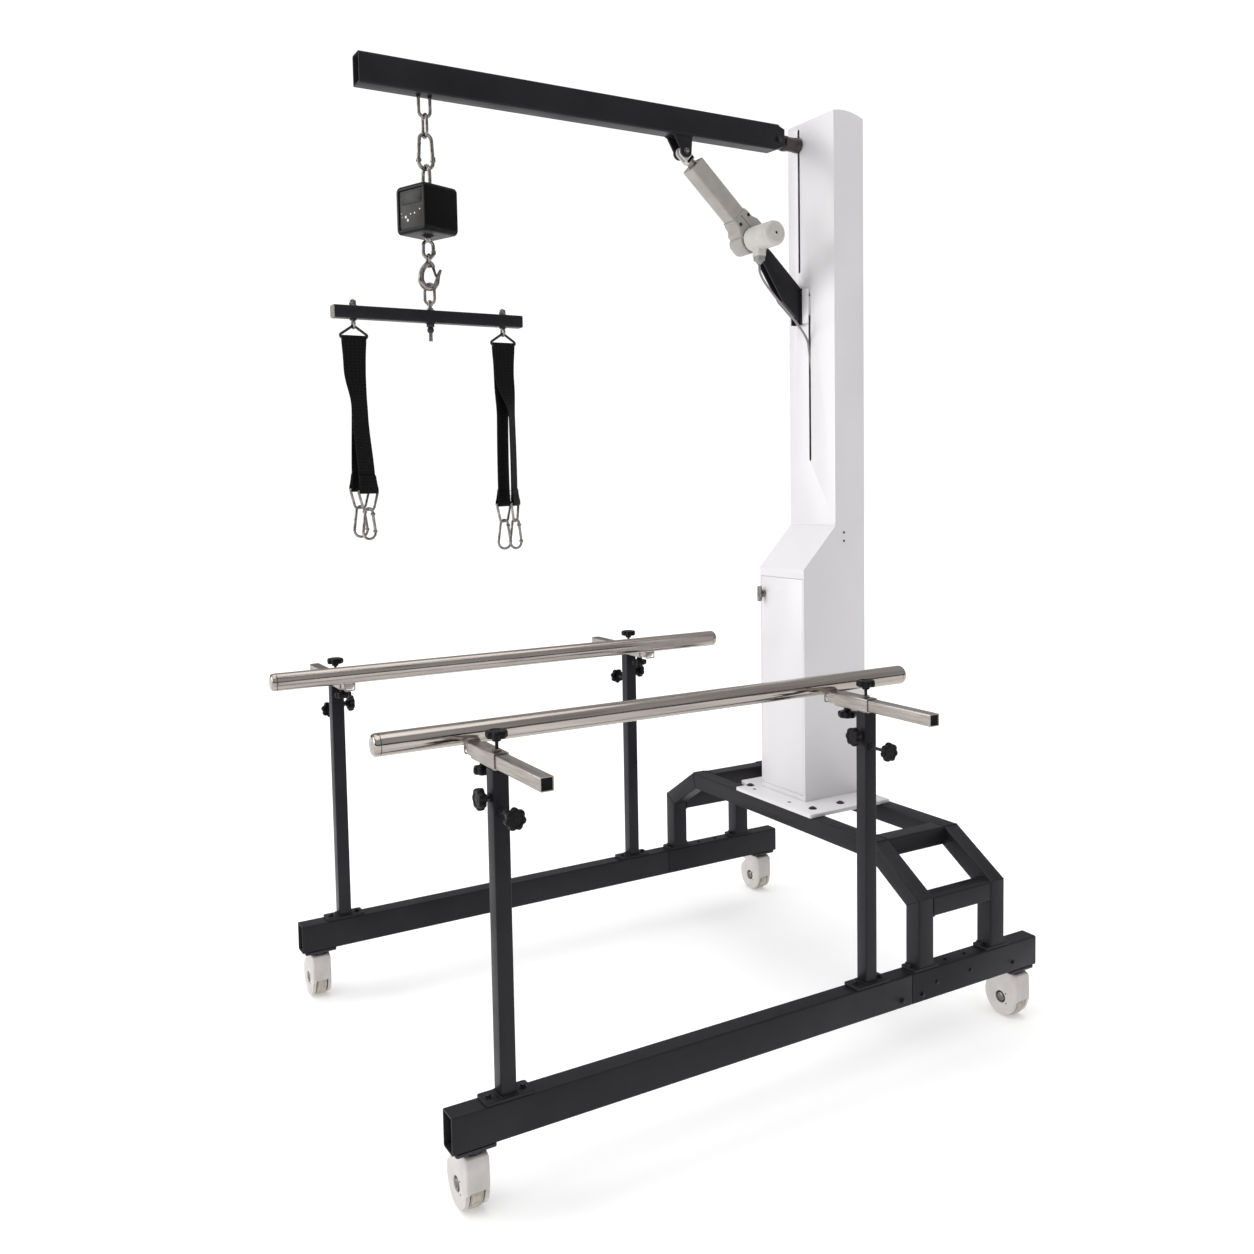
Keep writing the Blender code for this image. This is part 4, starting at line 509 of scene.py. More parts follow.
def welds(name, body, loops, size=0.0026, look=black_coat):
    """Weld beads along closed loops of points."""
    points, edges = [], []
    for loop in loops:
        start = len(points)
        points += loop
        edges += [(start + i, start + (i + 1) % len(loop)) for i in range(len(loop))]
    grown(name, welds_on_lines, points, edges, {"Spacing": size * 1.15, "Size": size, "Seed": 5}, body, look,
          smooth=60)


def square_loop(x, y, z, w, d):
    """The four corners of a level rectangle round a point."""
    corners = ((-w / 2, -d / 2), (w / 2, -d / 2), (w / 2, d / 2), (-w / 2, d / 2))
    return [Vector((x, y, z)) + spot(c, "z", 0) for c in corners]


def square_tube(outside, inside, at, axis, a, b, edge):
    """A square tube: outside and inside are (size, corner radius) pairs."""
    bm = bmesh.new()
    outer, inner = (rounded(s, s, r, at) for s, r in (outside, inside))
    rings = [[bm.verts.new(spot(p, axis, t)) for p in line]
             for line, t in ((outer, a), (outer, b), (inner, b), (inner, a))]
    return soften(stacked(bm, rings, True), edge)


def plug_end(bm, axis, side, wall, depth):
    """Sinks a tube's flat end inside its wall and gives the sunk face the second material: its end plug."""
    k = "xyz".index(axis)
    ends = [f for f in bm.faces if f.normal[k] * side > 0.99]
    far = max(f.calc_center_median()[k] * side for f in ends)
    ends = [f for f in ends if abs(f.calc_center_median()[k] * side - far) < 1e-4]
    cap = max(ends, key=lambda f: f.calc_area())
    bmesh.ops.inset_region(bm, faces=[cap], thickness=wall, depth=0.0, use_even_offset=True)
    step = Vector([-side * depth if i == k else 0 for i in range(3)])
    made = bmesh.ops.extrude_face_region(bm, geom=[cap])
    bmesh.ops.delete(bm, geom=[cap], context="FACES_ONLY")
    verts = [v for v in made["geom"] if isinstance(v, bmesh.types.BMVert)]
    bmesh.ops.translate(bm, verts=verts, vec=step)
    for f in made["geom"]:
        if isinstance(f, bmesh.types.BMFace):
            f.material_index = 1
    bm.normal_update()
    return bm


KNOB_R, KNOB_H, HUB_H, SCREW_R = 0.0205, 0.014, 0.006, 0.0035
LOBES, LOBE_DEPTH = 7, 0.0031


def star_knob(name, body, point, axis, screw, stands_for=()):
    """A seven-lobed knob on a threaded screw: the screw starts at point and runs along axis."""
    turn = Vector(UP).rotation_difference(Vector(axis)).to_matrix().to_4x4()
    place = Matrix.Translation(Vector(point)) @ turn
    z0, z1 = screw + HUB_H, screw + HUB_H + KNOB_H
    levels = ((0.50, z0 - 0.0006), (0.80, z0), (0.93, z0 + 0.0006), (0.985, z0 + 0.0022), (1.0, z0 + KNOB_H * 0.45),
              (0.985, z0 + KNOB_H * 0.72), (0.94, z0 + KNOB_H * 0.88), (0.86, z0 + KNOB_H * 0.97), (0.74, z1),
              (0.60, z1), (0.56, z1 - 0.0014), (0.30, z1 - 0.0014), (0.27, z1 - 0.0006))
    grip = bmesh.new()
    rings = []
    for f, z in levels:
        depth = LOBE_DEPTH * max(0.0, (f - 0.45) / 0.55)
        ring = []
        for a in [2 * math.pi * i / 84 for i in range(84)]:
            r = f * KNOB_R - depth * (0.5 + 0.5 * math.cos(LOBES * a)) ** 1.6
            ring.append(grip.verts.new((r * math.cos(a), r * math.sin(a), z)))
        rings.append(ring)
    stacked(grip, rings)
    neck = lathe([(0.0065, screw), (0.0078, screw + 0.0008), (0.0086, screw + HUB_H + 0.001)], (0, 0, 0), UP, 28)
    thread = [(SCREW_R - 0.0005, 0.0)]
    z = 0.0004
    while z < screw - 0.0006:
        thread += [(SCREW_R - 0.0004, z), (SCREW_R, z + 0.0005), (SCREW_R - 0.0004, z + 0.0010)]
        z += 0.00125
    shank = lathe(thread + [(SCREW_R - 0.0005, screw + 0.001)], (0, 0, 0), UP, 16)
    for bm in (grip, neck, shank):
        bm.transform(place)
    piece(name + "_screw", shank, body, oxide, (), 50)
    piece(name, joined(grip, neck), body, knob_plastic, stands_for, 38)


# Side rails with their caster seats

RAIL_X, RAIL_W, RAIL_H, RAIL_BOTTOM, RAIL_TOP = 0.5055, 0.043, 0.070, 0.1256, 0.1956
RAIL_MID, RAIL_WALL = (RAIL_BOTTOM + RAIL_TOP) / 2, 0.0032
RAIL_Y0, SEAM_Y, RAIL_Y1 = -0.700, 0.380, 0.777
FOOT_TOP = RAIL_TOP + 0.006
POST_Y = {"front": -0.588, "rear": 0.267}
CASTER_Y = {"front": -0.654, "rear": 0.731}


def foot(x, y, length):
    """The plate on the rail under an upright or an arch's leg."""
    return block(rounded(RAIL_W, length, 0.005, (x, y)), "z", RAIL_TOP + 0.0002, FOOT_TOP, 0.0010)


for side, sx in SIDES:
    x = sx * RAIL_X
    for part, y0, y1, end, depth in (("front", RAIL_Y0, SEAM_Y - 0.0006, -1, 0.040),
                                     ("rear", SEAM_Y + 0.0008, RAIL_Y1, 1, 0.006)):
        tube = prism(rounded(RAIL_W, RAIL_H, 0.004, (x, RAIL_MID)), "y", y0, y1)
        piece(f"{part}_rail_tube_{side}", soften(plug_end(tube, "y", end, RAIL_WALL, depth), 0.0007), "frame",
              black_coat, (f"{part}_rail_{side}",), extra=(plug_plastic,))
    piece("rail_spigot_" + side, prism(rounded(RAIL_W - 0.007, 0.063, 0.003, (x, RAIL_MID)), "y", SEAM_Y - 0.02,
                                       SEAM_Y + 0.02), "frame", oxide)
    for place, y in CASTER_Y.items():
        plate = block(rounded(RAIL_W, 0.078, 0.005, (x, y)), "z", RAIL_BOTTOM - 0.006, RAIL_BOTTOM + 0.0002, 0.0008)
        seat = lathe([(0.0170, -0.0130), (0.0170, -0.0065), (0.019, -0.0065), (0.019, -0.0085)], (x, y, RAIL_BOTTOM),
                     UP, 36)
        piece(f"caster_seat_{side}_{place}", joined(plate, seat), "frame", oxide)
    bolts("rail_joint_bolts_" + side, "frame",
          [((x + sx * RAIL_W / 2, SEAM_Y + dy, 0.142), (sx, 0, 0)) for dy in (-0.028, 0.030)],
          0.0085, 0.0032, 0.013, oxide, 2)

# Uprights: foot plate, square tube, nut bosses, the pinch knobs and the inner posts

SLEEVE_Z, SLEEVE_S, BAR_S = 0.808, 0.030, 0.025
SLEEVE_BOTTOM, SLEEVE_TOP = SLEEVE_Z - SLEEVE_S / 2, SLEEVE_Z + SLEEVE_S / 2
POST_S, POST_TOP = 0.031, 0.793 - 0.0003
SIDE_KNOB_Z, FACE_KNOB_Z, CLAMP_X, LOWER_KNOB_X = 0.718, 0.742, 0.505, 0.445


def hex_boss(at, way, low, shoulder, crown, top):
    return lathe([(0.0085, low), (0.0085, shoulder), (crown, top)], at, way, 6)


for side, sx in SIDES:
    x, out, face = sx * RAIL_X, -sx, POST_S / 2
    slide, frame_spots, loops = "height_" + side, [], []
    for place, y in POST_Y.items():
        tag = f"{side}_{place}"
        tube = square_tube((POST_S, 0.003), (POST_S - 0.004, 0.0015), (x, y), "z", FOOT_TOP - 0.001, POST_TOP, 0.0005)
        bosses = [hex_boss(at, way, -0.001, 0.0028, 0.0075, 0.004)
                  for at, way in (((x + sx * face, y, SIDE_KNOB_Z), (sx, 0, 0)),
                                  ((x, y + out * face, FACE_KNOB_Z), (0, out, 0)))]
        piece("upright_" + tag, joined(tube, foot(x, y, 0.096), *bosses), "frame", black_coat, ("post_" + tag,))
        star_knob("pinch_knob_" + tag, "frame", (x, y + out * (face + 0.004), FACE_KNOB_Z), (0, out, 0), 0.003)
        star_knob("height_grip_" + tag, "height_turn_" + tag, (x + sx * (face + 0.0043), y, SIDE_KNOB_Z),
                  (sx, 0, 0), 0.038, ("height_knob_" + tag,))
        frame_spots += [((x, y + s * 0.034, FOOT_TOP), UP) for s in (-1, 1)]
        loops.append(square_loop(x, y, FOOT_TOP + 0.0004, POST_S + 0.002, POST_S + 0.002))
        stem = square_tube((0.0264, 0.0014), (0.0224, 0.001), (x, y), "z", SLEEVE_BOTTOM - 0.330,
                           SLEEVE_BOTTOM + 0.0005, 0.0003)
        sleeve = square_tube((SLEEVE_S, 0.003), (BAR_S + 0.0006, 0.0026), (y, SLEEVE_Z), "x",
                             *sorted((sx * 0.420, sx * 0.5244)), 0.0004)
        piece("inner_stem_" + tag, stem, slide, brushed_post, ("inner_post_" + tag,))
        piece("cross_sleeve_" + tag, sleeve, slide, brushed_bar)
        nuts = (hex_boss((sx * CLAMP_X, y, SLEEVE_TOP), UP, -0.0005, 0.0030, 0.0076, 0.004),
                hex_boss((sx * LOWER_KNOB_X, y, SLEEVE_BOTTOM), DOWN, -0.0005, 0.0022, 0.0076, 0.003))
        piece("clamp_nuts_" + tag, joined(*nuts), slide, zinc)
        star_knob("clamp_grip_" + tag, "clamp_turn_" + tag, (sx * CLAMP_X, y, SLEEVE_TOP + 0.0043), UP, 0.013,
                  ("clamp_knob_" + tag,))
        star_knob("lower_grip_" + tag, slide, (sx * LOWER_KNOB_X, y, SLEEVE_BOTTOM - 0.0001), DOWN, 0.0035)
    bolts("upright_foot_bolts_" + side, "frame", frame_spots, 0.010, 0.0045, 0.0165, oxide, 3)
    welds("upright_welds_" + side, "frame", loops)

# Handrails: polished tube with domed caps, welded to two brushed slide bars with slanted inner ends

RAILING_X, RAILING_R, RAILING_Z = 0.385, 0.0212, 0.834
RAILING_Y0, RAILING_Y1 = -0.777, 0.483
CAP_R, CAP_BACK, CAP_RISE = 0.0082, 0.014, 0.0008
BAR_END_X, SLANT = 0.7054, 0.028

for side, sx in SIDES:
    body, loops = "railing_" + side, []
    tube = lathe([(RAILING_R - 0.0014, RAILING_Y0 + CAP_BACK - 0.0008), (RAILING_R, RAILING_Y0 + CAP_BACK),
                  (RAILING_R, RAILING_Y1 - CAP_BACK), (RAILING_R - 0.0014, RAILING_Y1 - CAP_BACK + 0.0008)],
                 (sx * RAILING_X, 0, RAILING_Z), ALONG_Y, 96)
    dome = [(0.0, 0.0), (0.006, 0.0002)] + arc(CAP_R, -90, 0, 6, RAILING_R - CAP_R, CAP_RISE + CAP_R)
    dome += [(RAILING_R, CAP_BACK - 0.0014), (RAILING_R - 0.0009, CAP_BACK - 0.0008)]
    caps = [lathe(dome, (sx * RAILING_X, y, RAILING_Z), (0, s, 0), 72) for y, s in ((RAILING_Y0, 1), (RAILING_Y1, -1))]
    piece("grab_tube_" + side, tube, body, polished_tube, ("handrail_" + side,), 30)
    piece("grab_tube_caps_" + side, joined(*caps), body, polished_tube, (), 30)
    for place, y in POST_Y.items():
        root = sx * RAILING_X
        bar = prism(rounded(BAR_S, BAR_S, 0.0025, (y, SLEEVE_Z)), "x", *sorted((root, sx * BAR_END_X)))
        for v in bar.verts:
            if abs(v.co.x - root) < 1e-5:
                v.co.x += sx * (SLANT * (0.5 - (v.co.z - SLEEVE_Z) / BAR_S) - SLANT * 0.42)
        bar.normal_update()
        plug_end(bar, "x", sx, 0.0018, 0.0016)
        piece(f"slide_bar_{side}_{place}", soften(bar, 0.0004), body, brushed_bar, extra=(plug_plastic,))
        loop = []
        for a in [2 * math.pi * i / 28 for i in range(28)]:
            dz, dy = (BAR_S / 2 * max(-1, min(1, 1.35 * t)) for t in (math.cos(a), math.sin(a)))
            depth = math.sqrt(max(0.0, RAILING_R ** 2 - min(RAILING_R, abs(SLEEVE_Z + dz - RAILING_Z)) ** 2))
            loop.append((sx * (RAILING_X + depth), y + dy, SLEEVE_Z + dz))
        loops.append(loop)
    welds("slide_bar_welds_" + side, body, loops, 0.0019, brushed_bar)

# Bridge: two bent-looking arches of welded square tube, four short bars between them

TUBE_S, EDGE_R = 0.044, 0.004
KNEE, CREST = (0.527, 0.3564), (0.381, 0.4493)
ARCH_Y = {"front": (0.4012, 0.4452), "rear": (0.6254, 0.6694)}


def arch_line(t):
    """Half the arch's side line, t inside its outer line: knee and crest (x, z)."""
    run, rise = KNEE[0] - CREST[0], CREST[1] - KNEE[1]
    length = math.hypot(run, rise)
    px, pz = KNEE[0] - rise / length * t, KNEE[1] - run / length * t
    leg, top = KNEE[0] - t, CREST[1] - t
    return (leg, pz + (px - leg) * rise / run), (px - (top - pz) * run / rise, top)


for place, (y0, y1) in ARCH_Y.items():
    (k0, a0), (k1, a1), ym = arch_line(0.0), arch_line(TUBE_S), (y0 + y1) / 2
    right, right_in = [(k0[0], FOOT_TOP - 0.0005), k0, a0], [a1, k1, (k1[0], FOOT_TOP - 0.0005)]
    left, left_in = ([(-x, z) for x, z in reversed(half)] for half in (right, right_in))
    arch = prism(right + left + left_in + right_in, "y", y0, y1)
    edges = [e for e in arch.edges if abs(e.verts[0].co.y - e.verts[1].co.y) < 1e-6
             and not (e.verts[0].co.z < FOOT_TOP and e.verts[1].co.z < FOOT_TOP)]
    round_edges(arch, edges, EDGE_R, 3)
    feet, loops = [], []
    for sx in (-1, 1):
        feet.append(foot(sx * RAIL_X, ym, 0.076))
        loops.append(square_loop(sx * (KNEE[0] - TUBE_S / 2), ym, FOOT_TOP + 0.0004, TUBE_S, TUBE_S + 0.001))
        # Round each mitre, the corners cut as the tube's are rounded
        for (xa, za), (xb, zb) in ((k0, k1), (a0, a1)):
            outer, inner = Vector((sx * xa, 0, za)), Vector((sx * xb, 0, zb))
            cut = (inner - outer).normalized() * EDGE_R
            ring = ((outer + cut, y0), (inner - cut, y0), (inner, y0 + EDGE_R), (inner, y1 - EDGE_R),
                    (inner - cut, y1), (outer + cut, y1), (outer, y1 - EDGE_R), (outer, y0 + EDGE_R))
            loops.append([p + Vector((0, y, 0)) for p, y in ring])
    piece("arch_" + place, joined(arch, *feet), "frame", black_coat, ("bridge_arch_" + place,))
    welds("arch_welds_" + place, "frame", loops, 0.0012)
bolts("arch_foot_bolts", "frame", [((sx * RAIL_X, (y0 + y1) / 2 + s * 0.0315, FOOT_TOP), UP)
                                   for sx in (-1, 1) for y0, y1 in ARCH_Y.values() for s in (-1, 1)],
      0.0085, 0.0040, 0.0125, oxide, 4)
for side, sx in SIDES:
    loops = []
    for kind, (x, z) in (("low", KNEE), ("top", CREST)):
        xc, zc = sx * (x - TUBE_S / 2), z - TUBE_S / 2
        piece(f"cross_bar_{kind}_{side}", prism(rounded(TUBE_S, TUBE_S, 0.004, (xc, zc)), "y",
                                                ARCH_Y["front"][1] - 0.001, ARCH_Y["rear"][0] + 0.001),
              "frame", black_coat, (f"bridge_{kind}_bar_{side}",))
        for y in (ARCH_Y["front"][1] + 0.0004, ARCH_Y["rear"][0] - 0.0004):
            loops.append([Vector((xc + px, y, zc + pz))
                          for px, pz in ((-0.021, -0.021), (0.021, -0.021), (0.021, 0.021), (-0.021, 0.021))])
    welds("cross_bar_welds_" + side, "frame", loops, 0.0024)

# Screws up the outside and down through the top of the rear rails
for side, sx in SIDES:
    face = sx * (RAIL_X + RAIL_W / 2)
    spots = [((face, y, z), (sx, 0, 0)) for y, z in ((0.455, 0.1600), (0.560, 0.1625), (0.700, 0.1480))]
    spots += [((sx * RAIL_X, y, RAIL_TOP), UP) for y in (0.500, 0.560)]
    bolts("rear_rail_screws_" + side, "frame", spots, 0.0070, 0.0020, 0.0105, oxide, 6)

# Column: foot plate, mast, cover, door, latch

PLATE_TOP = 0.4493 + 0.0003 + 0.010
COLUMN_X, COLUMN_W, COVER_FRONT = -0.030, 0.185, 0.5623
PLATE_X0, PLATE_X1, PLATE_Y0, PLATE_Y1 = -0.205, 0.158, 0.3956, 0.6560
plate_line = [(PLATE_X0 + 0.048, PLATE_Y0), (PLATE_X1, PLATE_Y0), (PLATE_X1, PLATE_Y1), (PLATE_X0, PLATE_Y1),
              (PLATE_X0, PLATE_Y0 + 0.052), (PLATE_X0 + 0.048, PLATE_Y0 + 0.039)]
piece("column_foot_plate", block(plate_line, "z", PLATE_TOP - 0.010, PLATE_TOP, 0.0014, 2, 30), "frame", white_coat,
      ("column_base",))
piece("column_mast", prism(rounded(0.060, 0.030, 0.003, (COLUMN_X, 0.6363)), "z", PLATE_TOP - 0.001, 2.204), "frame",
      black_coat)
domes = [lathe([(0.0105, 0.0), (0.0105, 0.0012), (0.0078, 0.0013), (0.0076, 0.0026), (0.0060, 0.0044),
                (0.0036, 0.0052), (0.0032, 0.0040), (0.0, 0.0040)], (bx, by, PLATE_TOP), UP, 28)
         for bx, by in ((-0.147, 0.4356), (0.118, 0.4356), (0.118, 0.5258), (0.118, 0.6160))]
piece("foot_plate_bolts", joined(*domes), "frame", oxide, (), 40)
# Dark discs on the plate where its two holes are: painted shade inside the holes
holes = [lathe([(0.0048, 0.0), (0.0048, 0.0003), (0.0, 0.0003)], (bx, 0.4225, PLATE_TOP), UP, 24)
         for bx in (-0.110, 0.040)]
piece("foot_plate_holes", joined(*holes), "frame", painted_gap_shade)
dressed("column_cover", white_coat, 0.0016, 3, 25)
y0, y1 = COVER_FRONT - 0.0012, COVER_FRONT + 0.001
seam = block([(y0, 1.1690), (y0, 1.1765), (y1, 1.1765), (y1, 1.1690)], "x", COLUMN_X - COLUMN_W / 2 + 0.0015,
             COLUMN_X + COLUMN_W / 2 - 0.0015, 0.0004, 2, 40)
piece("shoulder_flange", seam, "frame", white_coat)
screws = [lathe([(0.0030, 0.0), (0.0030, 0.0008), (0.0018, 0.0014), (0.0, 0.0014)],
                (COLUMN_X + sx * COLUMN_W / 2, 0.590, z), (sx, 0, 0), 20) for z in (1.150, 1.128) for sx in (1, -1)]
piece("cover_screws", joined(*screws), "frame", oxide)
dressed("column_door", white_coat, 0.0007, 2, 60)

low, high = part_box("door_latch")
latch_x, latch_z, door_y = (low.x + high.x) / 2, 0.987, 0.4569
escutcheon = lathe([(0.0100, 0.0003), (0.0100, 0.0045), (0.0088, 0.0060), (0.0070, 0.0064), (0.0070, 0.0078),
                    (0.0, 0.0078)], (latch_x, door_y, latch_z), (0, -1, 0), 40)
wing = [(latch_x + 0.5 * u, latch_z + v) for u, v in rounded(0.0130, 0.041, 0.0058, n=6)]
stem = lathe([(0.0055, 0.0), (0.0055, 0.0052), (0.0085, 0.0054), (0.0085, 0.0068), (0.0, 0.0068)],
             (latch_x, door_y, latch_z), ALONG_Y, 28)
piece("latch_body", joined(escutcheon, stem), "latch", zinc, ("door_latch",))
piece("latch_wing", block(wing, "y", door_y - 0.0202, door_y - 0.0070, 0.0014, 3, 50), "latch", zinc)

# Lifting carriage and the actuator's bracket

BOOM_X, PIVOT_Y, PIVOT_Z = -0.078, 0.4844, 2.1631
dressed("lift_carriage", pivot_steel, 0.0010, 2, 50)
flange = lathe([(0.0195, 0.0), (0.0195, 0.004), (0.0182, 0.005), (0.0182, 0.007), (0.0190, 0.008), (0.0190, 0.012),
                (0.0183, 0.013)], (BOOM_X, 0.5600, PIVOT_Z), (0, -1, 0), 48)
collar = lathe([(0.0183, 0.0), (0.0198, 0.001), (0.0198, 0.010), (0.0183, 0.011)], (BOOM_X, 0.5200, PIVOT_Z),
               (0, -1, 0), 48)
piece("pivot_barrel_rings", joined(flange, collar), "lift", pivot_steel)
ACT_Y, ACT_Z = 0.4374, 1.8834
TAB_BACK, TAB_LOW, TAB_TOP = 0.5583, 1.6960, 1.7900
TAB_MID, TAB_H = (TAB_TOP + TAB_LOW) / 2, TAB_TOP - TAB_LOW
gusset = arc(0.011, 40, 180, 10, ACT_Y, ACT_Z)
gusset += [(ACT_Y - 0.011, ACT_Z - 0.020), (TAB_BACK - 0.060, TAB_LOW + 0.058), (TAB_BACK - 0.015, TAB_LOW + 0.019),
           (TAB_BACK - 0.015, TAB_LOW), (TAB_BACK, TAB_LOW), (TAB_BACK, TAB_TOP), (ACT_Y + 0.024, ACT_Z - 0.005)]
cheeks = [block(gusset, "x", *sorted((BOOM_X + s * 0.0080, BOOM_X + s * 0.0130)), 0.0008, 2, 30) for s in (-1, 1)]
back = block(rounded(0.0320, TAB_H, 0.0010, (BOOM_X + 0.0030, TAB_MID), 1), "y", TAB_BACK - 0.0060, TAB_BACK, 0.0006)
web = block([(TAB_BACK - 0.060, TAB_LOW + 0.0584), (TAB_BACK - 0.0152, TAB_LOW + 0.0194),
             (TAB_BACK - 0.0152, TAB_LOW + 0.0240), (TAB_BACK - 0.057, TAB_LOW + 0.0620)],
            "x", BOOM_X - 0.0085, BOOM_X + 0.0085, 0.0004, 1)
pin = lathe([(0.0050, -0.0155), (0.0050, 0.0155)], (BOOM_X, ACT_Y, ACT_Z), ALONG_X, 20)
piece("actuator_bracket_cheeks", joined(*cheeks, back, web, pin), "lift", black_coat, ("actuator_bracket",))
slide_tab = block(rounded(0.0240, TAB_H - 0.004, 0.0020, (-0.0470, TAB_MID), 3), "y", TAB_BACK - 0.0030, TAB_BACK,
                  0.0006)
tab_neck = block([(-0.0400, 1.7190), (-0.0360, 1.7190), (-0.0360, 1.7670), (-0.0400, 1.7670)], "y",
                 TAB_BACK - 0.0010, 0.5700, 0.0003, 1)
piece("bracket_slide_tab", joined(slide_tab, tab_neck), "lift", white_coat)


def bolt_pair(name, body, half, y, z, flats, height, washer, look, seed):
    """A bolt head on each side of the boom's plane."""
    bolts(name, body, [((BOOM_X + s * half, y, z), (s, 0, 0)) for s in (-1, 1)], flats, height, washer, look, seed)


bolt_pair("bracket_pin_ends", "lift", 0.0132, ACT_Y, ACT_Z, 0.011, 0.004, 0.015, zinc, 2)

# Boom: rectangular tube with an end plug, lugs for the actuator, and the U-bolt

BOOM_W, BOOM_LOW, BOOM_TOP, BOOM_Y0, BOOM_Y1 = 0.0433, 2.1372, 2.2022, -0.6189, 0.5022
LUG_Y, LUG_Z = 0.1987, 2.1000
tube = prism([(BOOM_Y0, BOOM_LOW), (BOOM_Y1 - 0.030, BOOM_LOW), (BOOM_Y1, BOOM_LOW + 0.012),
              (BOOM_Y1, BOOM_TOP - 0.010), (BOOM_Y1 - 0.016, BOOM_TOP - 0.004), (BOOM_Y1 - 0.020, BOOM_TOP),
              (BOOM_Y0, BOOM_TOP)], "x", BOOM_X - BOOM_W / 2, BOOM_X + BOOM_W / 2)
long_edges = [e for e in tube.edges if abs(e.verts[0].co.x - e.verts[1].co.x) < 1e-6
              and not all(v.co.y < BOOM_Y0 + 1e-5 for v in e.verts)]
round_edges(tube, long_edges, 0.0042, 3)
tube.normal_update()
plug_end(tube, "y", -1, 0.0036, 0.0500)
piece("boom_tube", soften(tube, 0.0006), "boom", black_coat, ("boom",), extra=(plug_plastic,))
lug_line = arc(0.0155, -190, 0, 12, LUG_Y, LUG_Z)
lug_line += [(LUG_Y + 0.018, BOOM_LOW + 0.001), (LUG_Y - 0.036, BOOM_LOW + 0.001)]
lugs = [block(lug_line, "x", *sorted((BOOM_X + s * 0.013, BOOM_X + s * 0.019)), 0.0009, 2, 50) for s in (-1, 1)]
lug_pin = lathe([(0.005, -0.019), (0.005, 0.019)], (BOOM_X, LUG_Y, LUG_Z), ALONG_X, 20)
piece("boom_lugs", joined(*lugs, lug_pin), "boom", black_coat)
bolt_pair("lug_bolt_heads", "boom", 0.019, LUG_Y, LUG_Z, 0.010, 0.0042, 0.0145, zinc, 3)
bolt_pair("boom_pivot_bolt", "boom", BOOM_W / 2, PIVOT_Y - 0.004, PIVOT_Z + 0.002, 0.011, 0.0045, 0.0165, oxide, 5)
welds("lug_welds", "boom", [square_loop(BOOM_X + s * 0.016, LUG_Y - 0.009, BOOM_LOW - 0.0002, 0.0062, 0.054)
                            for s in (-1, 1)], 0.002)

HANG_Y = -0.4695
U_R, U_WIRE, U_LOW = 0.013, 0.0036, BOOM_LOW - 0.0466


def flat(points, plane="y", dy=0.0):
    """(Across, height) points as places on the hanging line, or dy from it, across Y or X."""
    return [(BOOM_X, HANG_Y + dy + u, z) if plane == "y" else (BOOM_X + u, HANG_Y + dy, z) for u, z in points]


def ring(points, wire, plane="y", sides=16, dy=0.0):
    """A closed ring of wire through flat points."""
    return bar_along(flat(points, plane, dy), wire, True, sides, ALONG_X if plane == "y" else ALONG_Y)


def hung(profile, n, dy=0.0, z=0.0, way=UP):
    """A turned shape on the hanging line, or dy from it."""
    return lathe(profile, (BOOM_X, HANG_Y + dy, z), way, n)


u_line = [(-U_R, BOOM_LOW + 0.002), (-U_R, U_LOW + U_R + 0.012)] + arc(U_R, 180, 360, 20, 0.0, U_LOW + U_R)
u_line += [(U_R, U_LOW + U_R + 0.012), (U_R, BOOM_LOW + 0.002)]
piece("hanging_eye", bar_along(flat(u_line), U_WIRE, sides=14), "boom", zinc, (), 50)
bolts("hanging_eye_nuts", "boom", [((BOOM_X, HANG_Y + s * U_R, BOOM_LOW), DOWN) for s in (-1, 1)], 0.0092, 0.0038,
      0.0125, oxide, 8)

# Actuator: die-cast gearbox, square guide tube, motor, plug and rod, drawn along its own line

reach = math.hypot(LUG_Y - ACT_Y, LUG_Z - ACT_Z)
aim = Matrix.Translation((BOOM_X, ACT_Y, ACT_Z)) @ Matrix.Rotation(math.atan2(LUG_Z - ACT_Z, LUG_Y - ACT_Y), 4, "X")


def aimed(*parts):
    """Joins shapes drawn along Y from the rear pin, and lays them on the actuator's line."""
    bm = joined(*parts)
    bm.transform(aim)
    return fair(bm)


guide = plug_end(prism(rounded(0.046, 0.046, 0.0060, n=5), "y", 0.060, 0.282), "y", 1, 0.0026, 0.0012)
piece("actuator_guide_tube", aimed(soften(guide, 0.0006)), "actuator", guide_coat, ("actuator_body",),
      extra=(guide_coat,))
ribs = [block(rounded(0.0016, 0.036, 0.0007, (s * 0.0232, 0), 2), "y", 0.112, 0.281, 0.0003, 1) for s in (-1, 1)]
piece("actuator_guide_ribs", aimed(*ribs), "actuator", guide_coat)
gear_line = [(0.030, -0.026), (0.046, -0.0345), (0.070, -0.0345), (0.088, -0.0255), (0.110, -0.0255),
             (0.110, 0.0255), (0.092, 0.0275), (0.082, 0.0380), (0.050, 0.0380), (0.030, 0.026)]
piece("actuator_gearbox", aimed(block(gear_line, "x", -0.0275, 0.0275, 0.0042, 3, 20),
                                block(rounded(0.0520, 0.0520, 0.0075), "y", 0.104, 0.1145, 0.0010, 2, 50)),
      "actuator", guide_coat, (), 32)
ear_line = arc(0.011, 90, 270, 14) + [(0.034, -0.013), (0.034, 0.013)]
piece("actuator_rear_ear", aimed(block(ear_line, "x", -0.0069, 0.0069, 0.0010, 2, 50)), "actuator", guide_coat)
screws = [lathe([(0.0042, 0.0), (0.0042, 0.0018), (0.0034, 0.0026), (0.0016, 0.0026), (0.0016, 0.0008),
                 (0.0, 0.0008)], (s * 0.0272, y, z), (s, 0, 0), 24)
          for s in (-1, 1) for y, z in ((0.038, 0.0185), (0.038, -0.0185), (0.097, 0.0180), (0.097, -0.0180))]
